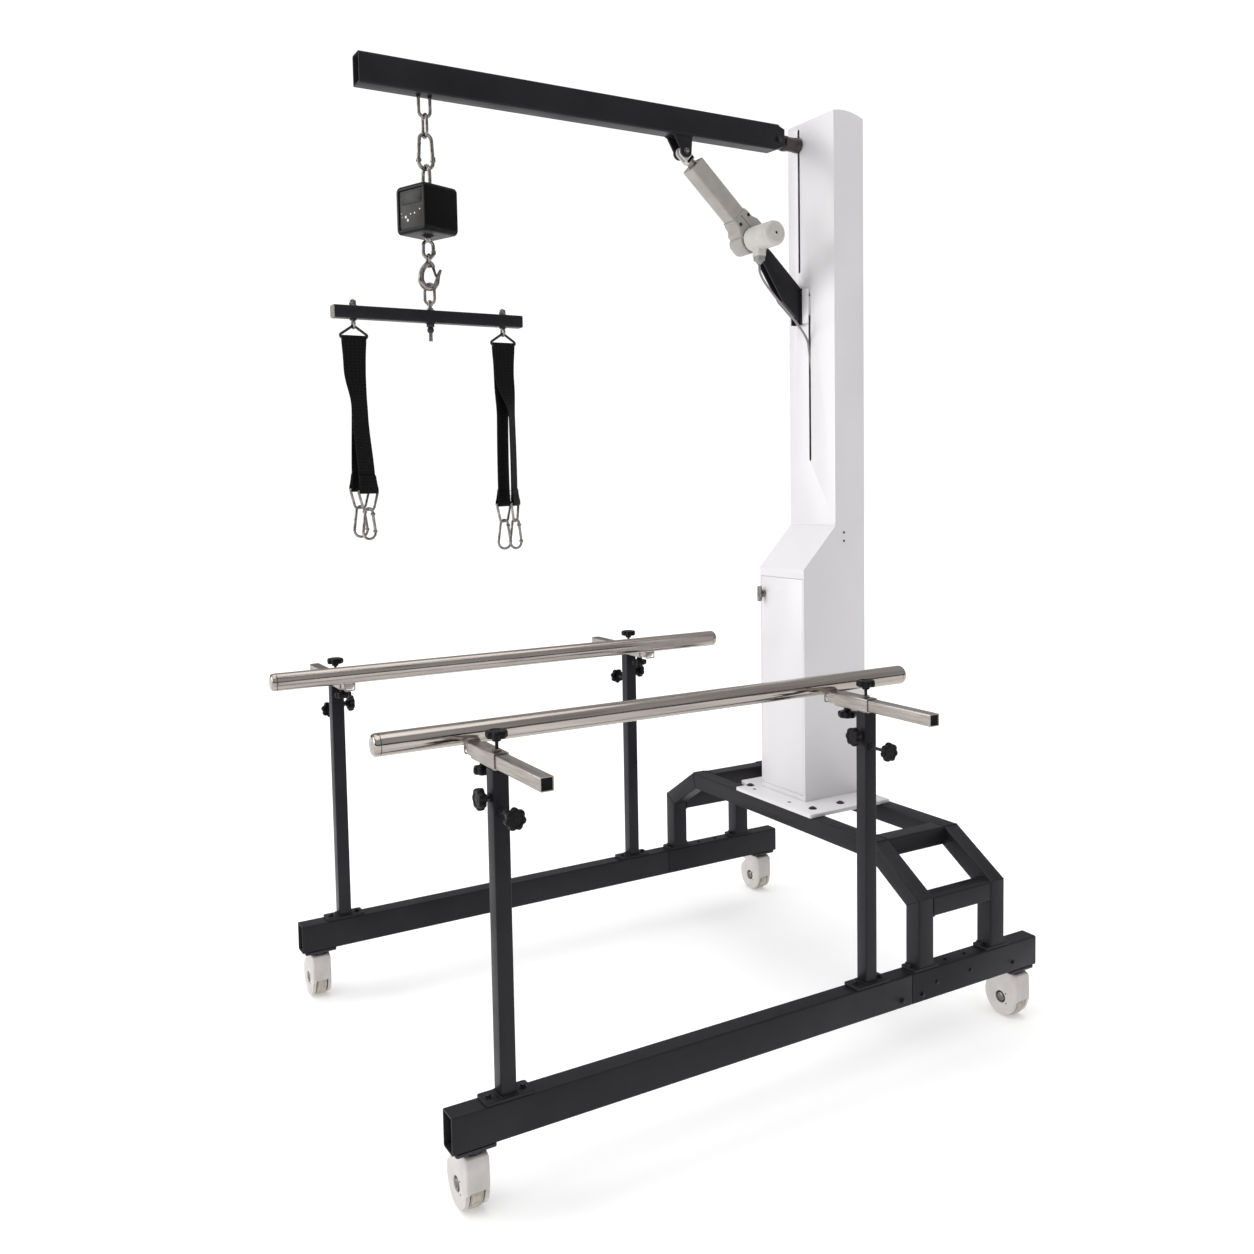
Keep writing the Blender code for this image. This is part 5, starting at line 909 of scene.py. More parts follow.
piece("actuator_case_screws", aimed(*screws), "actuator", oxide)
# A dark strip along the parting line of the case halves: painted shade in the gap
piece("actuator_case_seam", aimed(block(rounded(0.0560, 0.0012, 0.0005, n=1), "y", 0.030, 0.110, 0.0002, 1)),
      "actuator", painted_gap_shade)

MOTOR_R, MOTOR_IN, MOTOR_OUT = 0.0310, -0.032, 0.128
MOTOR_AT = (0, 0.0456, 0.019)
end_steps = ((MOTOR_R, 0.0185), (0.0302, 0.0180), (0.0302, 0.0165), (MOTOR_R, 0.0160), (MOTOR_R, 0.0120),
             (0.0297, 0.0070), (0.0265, 0.0032), (0.0215, 0.0008), (0.0200, 0.0008), (0.0194, 0.0018),
             (0.0080, 0.0018), (0.0074, 0.0008), (0.0042, 0.0008), (0.0040, 0.0055), (0.0, 0.0055))
barrel = lathe([(0.0, MOTOR_IN), (0.0285, MOTOR_IN), (MOTOR_R, MOTOR_IN + 0.0025), (MOTOR_R, 0.0268),
                (0.0296, 0.0272), (0.0296, 0.0300), (MOTOR_R, 0.0304)] + [(r, MOTOR_OUT - t) for r, t in end_steps],
               MOTOR_AT, ALONG_X, 72)
piece("actuator_motor", aimed(barrel), "actuator", actuator_abs, (), 28)
# A dark dot at the motor's end and a dark band over its groove: painted shade in the bore and the groove
bore = lathe([(0.0038, 0.0), (0.0038, 0.0004), (0.0, 0.0004)], (MOTOR_OUT - 0.0054, *MOTOR_AT[1:]), ALONG_X, 24)
band = lathe([(0.0312, 0.0273), (0.0312, 0.0299)], MOTOR_AT, ALONG_X, 72)
piece("motor_dark_gap", aimed(bore, band), "actuator", painted_gap_shade)
saddle = block([(0.022, 0.010), (0.022, 0.044), (0.034, 0.053), (0.058, 0.053), (0.072, 0.044), (0.072, 0.010)],
               "x", -0.0285, 0.0262, 0.0040, 3, 20)
piece("motor_saddle", aimed(saddle), "actuator", guide_coat, (), 32)


def tapered_block(centre, sections, corner):
    """A rounded block through (height, width, depth) sections, for a moulded plug."""
    bm = bmesh.new()
    return stacked(bm, [[bm.verts.new((*p, z)) for p in rounded(w, d, corner, centre)] for z, w, d in sections])


plug_at = aim @ Vector(MOTOR_AT) + Vector((0.054, 0, 0))
motor_low = plug_at.z - MOTOR_R
plug_low = motor_low - 0.036
socket = tapered_block(plug_at, [(motor_low - 0.0150, 0.0270, 0.0240), (motor_low - 0.0140, 0.0280, 0.0250),
                                 (motor_low + 0.0060, 0.0280, 0.0250)], 0.0040)
plug = tapered_block(plug_at, [(plug_low, 0.0076, 0.0076), (plug_low + 0.0012, 0.0096, 0.0092),
                               (plug_low + 0.0080, 0.0180, 0.0160), (plug_low + 0.0096, 0.0240, 0.0210),
                               (plug_low + 0.0205, 0.0256, 0.0226), (plug_low + 0.0212, 0.0246, 0.0216)], 0.0036)
piece("motor_socket", socket, "actuator", actuator_abs)
piece("motor_plug", plug, "actuator", cable_pvc)

ROD_R, EYE_R = 0.0110, 0.0138
rod = lathe([(ROD_R - 0.001, 0.091), (ROD_R, 0.092), (ROD_R, reach - 0.026), (ROD_R - 0.001, reach - 0.025)],
            (0, 0, 0), ALONG_Y, 40)
piece("actuator_rod_steel", aimed(rod), "rod", zinc, ("actuator_rod",))
fork_line = arc(EYE_R, -90, 90, 14, reach) + [(reach - 0.0280, 0.0125), (reach - 0.0280, -0.0125)]
fork = [block(fork_line, "x", *sorted((s * 0.0040, s * 0.0100)), 0.0010, 2, 50) for s in (-1, 1)]
neck_line = [(reach - 0.0300, -0.0125), (reach - 0.0300, 0.0125), (reach - 0.0190, 0.0125), (reach - 0.0190, -0.0125)]
neck = block(neck_line, "x", -0.0100, 0.0100, 0.0012, 2, 50)
piece("rod_end_fork", aimed(neck, *fork), "rod", actuator_abs)

# Hanging gear: chain link, snap carabiner, crane scale, lower link, eye hook


def chain_line(top, bottom, high_r, low_r=None):
    """Flat centre line of a standing link: a round top, straight sides and a round bottom."""
    low_r = low_r or high_r
    z1, z0 = top - high_r, bottom + low_r
    lean = math.degrees(math.asin((low_r - high_r) / (z1 - z0)))
    return arc(high_r, lean, 180 - lean, 12, 0.0, z1) + arc(low_r, 180 - lean, 360 + lean, 12, 0.0, z0)


piece("chain_link", ring(chain_line(2.0969, 2.0479, 0.0120), 0.0034, "x"), "link", zinc, ("hanging_link",), 60)
piece("carabiner_ring", ring(chain_line(2.0552, 1.9797, 0.0140, 0.0165), 0.0040), "carabiner", zinc, ("carabiner",),
      60)
nut = hung([(0.0042, 0.0), (0.0064, 0.0006), (0.0066, 0.0020), (0.0066, 0.0095), (0.0064, 0.0110), (0.0042, 0.0116)],
           8, 0.0160, 1.9960, (0, -0.02, 1))
nose = hung(mirrored([(0.0, -0.0052), (0.0046, -0.0050), (0.0050, -0.0044)]), 24, -0.0160, 1.9975, ALONG_X)
pin = hung([(0.0, -0.0056), (0.0028, -0.0054), (0.0030, 0.0054), (0.0, 0.0056)], 20, -0.0142, 2.0330, ALONG_X)
piece("carabiner_gate_fittings", joined(nut, nose, pin), "carabiner", zinc)

SCALE_TOP, SCALE_LOW, SCALE_W, SCALE_D = 1.9393, 1.8363, 0.098, 0.094
SCALE_MID, SCALE_H, FACE_Y = (SCALE_TOP + SCALE_LOW) / 2, SCALE_TOP - SCALE_LOW, -SCALE_D / 2
BOW_TOP, BOW_R, BOW_X = 1.9870, 0.0215, 0.0190
scale_turn = Matrix.Translation((BOOM_X, HANG_Y, 0)) @ Matrix.Rotation(math.radians(21), 4, "Z")


def turned(bm):
    """Places a shape drawn round the hanging line on the scale, turned on its swivel."""
    bm.transform(scale_turn)
    return bm


housing = prism(rounded(SCALE_W, SCALE_H, 0.0120, (0, SCALE_MID), 6), "y", FACE_Y, SCALE_D / 2)
housing.normal_update()
soften(housing, 0.0060, 4)
housing.normal_update()
face = [f for f in housing.faces if all(v.co.y < FACE_Y + 1e-5 for v in f.verts)]
for thickness, depth in ((0.0030, 0.0), (0.0012, -0.0040)):
    bmesh.ops.inset_region(housing, faces=face, thickness=thickness, depth=depth)
piece("scale_housing", turned(housing), "scale", scale_abs, ("crane_scale",), 32)
panel = block(rounded(SCALE_W - 0.0206, SCALE_H - 0.0206, 0.0040, (0, SCALE_MID), 5), "y", FACE_Y + 0.0026,
              FACE_Y + 0.0050, 0.0004)
piece("scale_front_panel", turned(panel), "scale", scale_panel)
window = block(rounded(0.064, 0.026, 0.0030, (0.0, 1.9120)), "y", FACE_Y + 0.0018, FACE_Y + 0.0040, 0.0003)
piece("scale_display_window", turned(window), "scale", scale_window)
keys = [lathe([(kr, -0.0002), (kr, 0.0006), (kr * 0.8, 0.0010), (0.0, 0.0011)], (kx, FACE_Y + 0.0026, kz),
              (0, -1, 0), 20)
        for kx, kz, kr in ((-0.0186, 1.8725, 0.0031), (-0.0124, 1.8650, 0.0029), (-0.0030, 1.8772, 0.0017),
                           (0.0100, 1.8775, 0.0019), (0.0270, 1.8835, 0.0016), (-0.0320, 1.8812, 0.0012),
                           (-0.0300, 1.8735, 0.0010))]
piece("scale_keys", turned(joined(*keys)), "scale", key_cap)
bow_leg = [(BOW_X, SCALE_TOP - 0.006), (0.0205, SCALE_TOP + 0.010)]
bow = bow_leg + arc(BOW_R, 0, 180, 16, 0.0, BOW_TOP - BOW_R, 0.0200) + [(-u, z) for u, z in reversed(bow_leg)]
piece("scale_bow", bar_along(smooth_line(flat(bow, "x"), 2), 0.0040, sides=16, normal=ALONG_Y), "scale", zinc, (), 60)
collars = [lathe([(0.0066, 0.0), (0.0066, 0.0030), (0.0056, 0.0040), (0.0, 0.0040)],
                 (BOOM_X + s * BOW_X, HANG_Y, SCALE_TOP), UP, 24) for s in (-1, 1)]
stem_seat = hung([(0.0150, -0.001), (0.0150, 0.0012), (0.0120, 0.0018), (0.0120, 0.0035), (0.0, 0.0035)], 32, 0.0,
                 SCALE_LOW, DOWN)
piece("scale_fittings", joined(*collars, stem_seat), "scale", oxide)

swivel = hung([(0.0068, 1.8325), (0.0080, 1.8318), (0.0080, 1.8262), (0.0062, 1.8240), (0.0, 1.8236)], 28)
clasp = hung([(0.0030, -0.0052), (0.0052, -0.0046), (0.0056, 0.0), (0.0052, 0.0046), (0.0030, 0.0052)], 20, 0.0115,
             1.8010)
piece("lower_link_ring", ring(chain_line(1.8258, 1.7888, 0.0115), 0.0038), "lower_link", zinc, ("lower_link",), 60)
piece("lower_link_swivel", joined(swivel, clasp), "lower_link", zinc, (), 40)

HOOK_TOP, HOOK_LOW, BOWL_R, HOOK_EYE_R = 1.7956, 1.7239, 0.0185, 0.0085
hook_flat = [(0.0015, HOOK_TOP - 0.0150), (-0.0045, HOOK_TOP - 0.0210), (-0.0125, HOOK_TOP - 0.0300),
             (-0.0170, HOOK_TOP - 0.0400)] + arc(BOWL_R, 168, 348, 18, 0.0, HOOK_LOW + BOWL_R)
hook_flat += [(0.0205, HOOK_LOW + 0.0255), (0.0240, HOOK_LOW + 0.0340), (0.0275, HOOK_LOW + 0.0410)]
hook_line = smooth_line(flat(hook_flat), 2)
# Thickest round the bowl, tapering over the last seventh to the tip
thick = [0.0051 + 0.0022 * math.sin(math.pi * min(1.0, 1.1 * t)) - 0.0030 * max(0.0, (t - 0.86) / 0.14) ** 1.4
         for t in [i / len(hook_line) for i in range(len(hook_line))]]
piece("hook_bowl", bar_along(hook_line, thick, sides=18), "hook", zinc, ("swivel_hook",), 60)
shoulder = smooth_line(flat([(-0.0060, HOOK_TOP - 0.0200), (0.0010, HOOK_TOP - 0.0160), (0.0080, HOOK_TOP - 0.0205),
                             (0.0105, HOOK_TOP - 0.0270)]), 5)
piece("hook_shoulder", bar_along(shoulder, 0.0044, sides=16), "hook", zinc, (), 60)
boss = hung([(0.0, -0.0042), (0.0044, -0.0040), (0.0048, 0.0), (0.0044, 0.0040), (0.0, 0.0042)], 24, 0.0010,
            HOOK_TOP - 0.0240, ALONG_X)
eye = arc(HOOK_EYE_R, 0, 360, 28, 0.0, HOOK_TOP - HOOK_EYE_R)[:-1]
piece("hook_eye", joined(ring(eye, 0.0034, "x"), boss), "hook", zinc, (), 60)
latch_from, latch_to = (Vector(p) for p in flat([(0.0100, HOOK_TOP - 0.0270), (0.0165, HOOK_LOW + 0.0250)]))
across = (latch_to - latch_from).normalized().cross(Vector(ALONG_X)) * 0.0013
tongue = bmesh.new()
stacked(tongue, [[tongue.verts.new(p + Vector((u * w, 0, 0)) + across * v)
                  for u, v in ((-1, -1), (1, -1), (1, 1), (-1, 1))]
                 for p, w in ((latch_from, 0.0058), (latch_from.lerp(latch_to, 0.5), 0.0046), (latch_to, 0.0038))])
piece("hook_safety_latch", soften(tongue, 0.0004, 2, 40), "hook", oxide)

# Spreader bar: square tube, eye bolt in the middle, two ring bolts with nuts on top

BAR_TOP, BAR_LOW, BAR_MID = 1.6744, 1.6474, (1.6744 + 1.6474) / 2
BAR_Y0, BAR_Y1 = HANG_Y - 0.218, HANG_Y + 0.218
EYE_TOP, EYE_R = 1.7327, 0.0110
for name, look, size, corner, y0, y1, edge, steps, node in (
        ("tube", black_coat, 0.027, 0.0030, BAR_Y0 + 0.0022, BAR_Y1 - 0.0032, 0.0005, 2, ("spreader_bar",)),
        ("front_cap", cable_pvc, 0.0262, 0.0030, BAR_Y0, BAR_Y0 + 0.0030, 0.0008, 2, ()),
        ("rear_cap", plug_plastic, 0.0268, 0.0034, BAR_Y1 - 0.0036, BAR_Y1, 0.0014, 3, ())):
    line = rounded(size, size, corner, (BOOM_X, BAR_MID))
    piece("spreader_" + name, block(line, "y", y0, y1, edge, steps), "spreader", look, node)
eye_turn = math.radians(52)
eye_side = Vector((math.cos(eye_turn), math.sin(eye_turn), 0))
eye_half = [(0.0020, BAR_TOP + 0.0110), (0.0046, BAR_TOP + 0.0150)] + arc(EYE_R, -48, 0, 6, 0.0, BAR_TOP + 0.0255)
eye_flat = eye_half + arc(0.0112, 10, 170, 16, 0.0, EYE_TOP - 0.0112, EYE_R) + [(-u, z) for u, z in reversed(eye_half)]
eye_line = smooth_line([Vector((BOOM_X, HANG_Y, 0)) + eye_side * u + Vector((0, 0, z)) for u, z in eye_flat], 2)
piece("spreader_eye_bolt", joined(
    bar_along(eye_line, 0.0033, sides=14, normal=eye_side.cross(Vector(UP))),
    hung([(0.0040, -0.001), (0.0040, 0.0150), (0.0048, 0.0190), (0.0030, 0.0230)], 20, 0.0, BAR_TOP),
    hung([(0.0095, 0.0002), (0.0095, 0.0018), (0.0066, 0.0026), (0.0066, 0.0058), (0.0040, 0.0066)], 24, 0.0,
         BAR_TOP)), "spreader", zinc, (), 50)
piece("spreader_bolt_nuts", joined(
    hung([(0.0105, -0.0018), (0.0105, 0.0)], 28, 0.0, BAR_LOW),
    hung([(0.0080, -0.0090), (0.0086, -0.0080), (0.0086, -0.0018)], 6, 0.0, BAR_LOW),
    hung([(0.0040, -0.0220), (0.0066, -0.0195), (0.0076, -0.0155), (0.0066, -0.0115), (0.0050, -0.0090)], 28, 0.0,
         BAR_LOW)), "spreader", oxide)
thread = [(0.0034, -0.0400)]
for i in range(14):
    thread += [(0.0040, -0.0392 + i * 0.00125), (0.0045, -0.0386 + i * 0.00125)]
piece("spreader_bolt_end", hung(thread, 20, 0.0, BAR_LOW), "spreader", zinc, (), 50)

RING_Z, RING_R, RING_DY = 1.6274, 0.0085, 0.173
ENDS = (("front", -RING_DY), ("rear", RING_DY))
for place, dy in ENDS:
    stud = hung([(0.0030, RING_Z + 0.0170), (0.0030, BAR_TOP + 0.0135), (0.0022, BAR_TOP + 0.0145),
                 (0.0, BAR_TOP + 0.0145)], 16, dy)
    eye = arc(RING_R, 0, 360, 24, 0.0, RING_Z + RING_R)[:-1]
    piece("ring_bolt_" + place, joined(ring(eye, 0.0027, "x", 12, dy), stud), "spreader", zinc, (), 50)
    piece("ring_bolt_low_nut_" + place, hung([(0.0070, -0.0036), (0.0074, -0.0030), (0.0074, -0.0002)], 6, dy,
                                             BAR_LOW), "spreader", oxide)
    piece("ring_bolt_top_nuts_" + place, joined(
        hung([(0.0092, 0.0), (0.0092, 0.0014)], 24, dy, BAR_TOP),
        hung([(0.0075, 0.0014), (0.0075, 0.0066), (0.0066, 0.0074)], 6, dy, BAR_TOP),
        hung([(0.0066, 0.0078), (0.0066, 0.0112), (0.0058, 0.0120)], 6, dy, BAR_TOP, (0, 0.06, 1))),
        "spreader", zinc)

# Straps: black wire triangle, webbing over it in two legs, steel wire frames and pear snaps

WEB_T, WEB_HALF = 0.0026, 0.0240
TRI_BASE, TRI_TOP, TRI_HALF, TRI_R, TRI_TOP_R = 1.6067, 1.6327, 0.029, 0.0050, 0.0058
FOLD_R, LOOP_R, LEG_X = 0.0046, 0.0044, 0.0116


def web_loft(name, sections, body, stands_for):
    """A band of webbing through (centre, half-width vector) sections, with rounded edges and its own weave map."""
    bm = bmesh.new()
    uv = bm.loops.layers.uv.new("web")
    rows, length = [], 0.0
    steps = [2 * k / 8 - 1 for k in range(9)]
    centres, halves = ([Vector(s[i]) for s in sections] for i in (0, 1))
    for i, (c, w) in enumerate(zip(centres, halves)):
        d = (centres[min(i + 1, len(centres) - 1)] - centres[max(i - 1, 0)]).normalized()
        out = w.cross(d).normalized() * (WEB_T / 2)
        if i:
            length += (c - centres[i - 1]).length
        ring = [(c + w * (t * 0.985) + out, t * w.length) for t in steps] + [(c + w, w.length)]
        ring += [(c + w * (t * 0.985) - out, t * w.length) for t in reversed(steps)] + [(c - w, -w.length)]
        rows.append(([bm.verts.new(p) for p, _ in ring], [u for _, u in ring], length))
    for (lo, ulo, vlo), (hi, uhi, vhi) in zip(rows, rows[1:]):
        for k in range(len(lo)):
            m = (k + 1) % len(lo)
            f = bm.faces.new((lo[k], lo[m], hi[m], hi[k]))
            for loop, pair in zip(f.loops, ((ulo[k], vlo), (ulo[m], vlo), (uhi[m], vhi), (uhi[k], vhi))):
                loop[uv].uv = pair
    for verts, at in ((list(reversed(rows[0][0])), rows[0][2]), (rows[-1][0], rows[-1][2])):
        for loop in bm.faces.new(verts).loops:
            loop[uv].uv = (0.0, at)
    piece(name, fair(bm), body, webbing, stands_for, 50)


def ramp(t, a, b):
    """A smooth step from 0 at a to 1 at b."""
    t = max(0.0, min(1.0, (t - a) / (b - a)))
    return t * t * (3 - 2 * t)


def leg_frame(x, y, twist):
    """Turns a shape drawn in the YZ plane at the origin about the leg's own upright line."""
    return Matrix.Translation((x, y, 0)) @ Matrix.Rotation(math.radians(twist), 4, "Z")


SNAP_WIRE, FRAME_WIRE, FRAME_DROP = 0.0030, 0.0028, 0.040
PEAR_TURN = {("front", "left"): 2.0, ("front", "right"): 10.0, ("rear", "left"): -6.0, ("rear", "right"): 5.0}
# For each strap: how far down it is sewn, its drift along Y, where its twist starts and ends, how far its legs bow
# out, and for each leg its own shift along Y, its twist in degrees and its lower end
LEGS = {"front": (0.46, 0.0110, (0.16, 0.44), 0.6,
                  {"left": (-0.0053, 30.0, 1.2792), "right": (0.0060, 28.0, 1.2747)}),
        "rear": (0.20, 0.0005, (0.16, 0.46), 1.0,
                 {"left": (-0.0035, 34.0, 1.2387), "right": (0.0147, 50.0, 1.2397)})}
for place, dy in ENDS:
    ye = HANG_Y + dy
    tri = (arc(TRI_R, -90, 32, 8, TRI_HALF - TRI_R, TRI_BASE + TRI_R)
           + arc(TRI_TOP_R, 32, 148, 8, 0.0, TRI_TOP - TRI_TOP_R)
           + arc(TRI_R, 148, 270, 8, TRI_R - TRI_HALF, TRI_BASE + TRI_R))
    piece("triangle_ring_" + place, ring(tri, 0.0028, "y", 14, dy), "ring_" + place, oxide, ("strap_ring_" + place,),
          60)
    sewn, drift, twisting, bowed, legs = LEGS[place]
    strap, seams = [], []
    for leg, sx in (("left", -1), ("right", 1)):
        shift, twist, low = legs[leg]
        bar_z, xl = low + 0.006, BOOM_X + sx * LEG_X
        web_top = TRI_BASE - 0.004
        sections = []
        for i in range(35):
            t = i / 34
            z = web_top - (web_top - bar_z - 0.006) * t
            free = max(0.0, (t - sewn) / (1 - sewn))
            ease = free * free * (3 - 2 * free)
            x = sx * (FOLD_R if t < 0.02 else FOLD_R + (0.0016 - FOLD_R) * min(1.0, t / 0.10))
            x = BOOM_X + x * (1 - ease) + (xl - BOOM_X - 0.0036 * sx) * ease
            x += 0.0030 * math.sin(math.pi * free) * sx * bowed
            split = ramp(t, *twisting) if place == "rear" else ease
            y = ye + shift * split + drift * (0.7 * ramp(t, 0.20, 0.48) + 0.3 * ramp(t, 0.5, 1.0))
            pinch = (1.0 + 0.08 * math.exp(-((t - 1.0) / 0.045) ** 2) + 0.06 * math.exp(-(t / 0.10) ** 2)
                     - 0.04 * math.sin(math.pi * t))
            a = math.radians(twist * ramp(t, *twisting) - 5.0 * (1 - ramp(t, 0.1, 0.4)))
            half = WEB_HALF * pinch
            sections.append(((x, y, z), (-half * math.sin(a), half * math.cos(a), 0.0)))
        a = math.radians(twist)
        wide = Vector((-math.sin(a), math.cos(a), 0)) * (WEB_HALF * 1.11)
        side = Vector((math.cos(a), math.sin(a), 0))
        centre = Vector((xl, ye + drift + shift, bar_z))
        sections += [(centre + side * (sx * u) + Vector((0, 0, v)), wide) for u, v in arc(LOOP_R, 180, 360, 8)]
        for k, (dz, off) in enumerate(((0.006, 0.0040), (0.014, 0.0022), (0.024, 0.0010), (0.034, -0.0002))):
            sections.append((centre + side * (sx * off) + Vector((0, 0, dz)), wide * (1 - 0.035 * k)))
        if leg == "left":
            fold = [((x, ye, z), (0, WEB_HALF * 1.06, 0)) for x, z in arc(FOLD_R, 180, 0, 10, BOOM_X, TRI_BASE)]
            strap = list(reversed(sections)) + fold
        else:
            strap += sections
        seams.append((centre, side, wide, sx))
    web_loft("webbing_" + place, strap, "strap_" + place, ("strap_" + place,))
    points, edges = [], []
    for centre, side, wide, sx in seams:
        for dz in (0.0130, 0.0180, 0.0300):
            for off in (0.0043, -0.0053 if dz < 0.02 else -0.0043):
                edges.append((len(points), len(points) + 1))
                points += [centre + side * (sx * off * (0.90 if off > 0 else 1.0)) + wide * (0.86 * t)
                           + Vector((0, 0, dz)) for t in (-1, 1)]
    grown("webbing_stitches_" + place, stitches_on_lines, points, edges,
          {"Spacing": 0.0034, "Size": 0.00035, "Length": 0.0024, "Seed": 7}, "strap_" + place, plug_plastic)

    for leg, sx in (("left", -1), ("right", 1)):
        shift, twist, low = legs[leg]
        bar_z = low + 0.006
        corners = [Vector(c) for c in ((0.0295, 0.0), (0.0150, -FRAME_DROP), (-0.0150, -FRAME_DROP), (-0.0295, 0.0))]
        line = []
        for i, here in enumerate(corners):
            p0, p2 = (here + (corners[j] - here).normalized() * 0.006 for j in (i - 1, (i + 1) % 4))
            for t in [k / 5 for k in range(6)]:
                q = p0 * (1 - t) ** 2 + here * 2 * t * (1 - t) + p2 * t * t
                line.append((0.0, q.x, bar_z + q.y))
        top = bar_z - FRAME_DROP + SNAP_WIRE
        pear = joined(
            bar_along([(0.0, u, z) for u, z in chain_line(top, top - 0.066, 0.0085, 0.0145)], SNAP_WIRE, True, 14),
            lathe([(0.0, -0.0042), (0.0034, -0.0040), (0.0036, 0.0), (0.0034, 0.0040), (0.0, 0.0042)],
                  (0.0, 0.0140, top - 0.0500), ALONG_X, 18),
            lathe(mirrored([(0.0, -0.0040), (0.0038, -0.0038)]), (0.0, 0.0095, top - 0.0125), ALONG_X, 18))
        pear.transform(leg_frame(0, 0, PEAR_TURN[place, leg] - twist))
        snap = joined(bar_along(line, FRAME_WIRE, True, 14), pear)
        snap.transform(leg_frame(BOOM_X + sx * LEG_X, ye + drift + shift, twist))
        piece(f"snap_hook_{place}_{leg}", snap, f"snap_{place}_{leg}", zinc, (f"snap_{place}_{leg}",), 60)

# Casters: white moulded hood with side cheeks, brake pedal, beige wheel, ringed hub

HOOD_TOP, HOOD_W, CHEEK_R, WHEEL_R, WHEEL_W, TRAIL = 0.1123, 0.046, 0.0430, 0.046, 0.024, 0.024
SLOT_HALF, WHEEL_HALF = WHEEL_W / 2 + 0.0028, WHEEL_W / 2


def hood_mesh(xs, xw, y):
    """The moulded hood: a round cheek on each side, a curved front wall and a flat crown round the stem."""
    nose = xw + 0.0500
    outline = [(nose, 0.0500), (nose + 0.0006, 0.0700), (nose, 0.0900), (nose - 0.0010, HOOD_TOP - 0.0070),
               (nose - 0.0034, HOOD_TOP - 0.0022), (nose - 0.0085, HOOD_TOP), (xs - 0.0320, HOOD_TOP),
               (xs - 0.0370, HOOD_TOP - 0.0040), (xs - 0.0420, HOOD_TOP - 0.0150), (xs - 0.0500, HOOD_TOP - 0.0260),
               (xs - 0.0590, HOOD_TOP - 0.0340)]
    for a in [152 + 6.8 * k for k in range(31)]:
        r = CHEEK_R + (0.0500 - CHEEK_R) * max(0.0, (236 - a) / 90) ** 1.5
        outline.append((xw + r * math.cos(math.radians(a)), WHEEL_R + r * math.sin(math.radians(a))))
    shell = prism(outline, "y", y - HOOD_W / 2, y + HOOD_W / 2)
    front = [e for e in shell.edges if all(v.co.x > xw + 0.036 and v.co.z > 0.0495 for v in e.verts)
             and abs(e.verts[0].co.y - e.verts[1].co.y) < 1e-6]
    return round_edges(shell, front, 0.0070, 5, offset_type="OFFSET")


def without(bm, cutters):
    """Takes cutter meshes out of a closed mesh."""
    ob = add_object("hood_blank", mesh_from("hood_blank", bm))
    tools = [add_object("hood_cutter", mesh_from("hood_cutter", cutter)) for cutter in cutters]
    for tool in tools:
        mod = ob.modifiers.new("cut", "BOOLEAN")
        mod.operation, mod.solver, mod.object = "DIFFERENCE", "EXACT", tool
    out = bmesh.new()
    out.from_mesh(plain_copy(ob))
    for extra in [ob] + tools:
        bpy.data.objects.remove(extra)
    return out


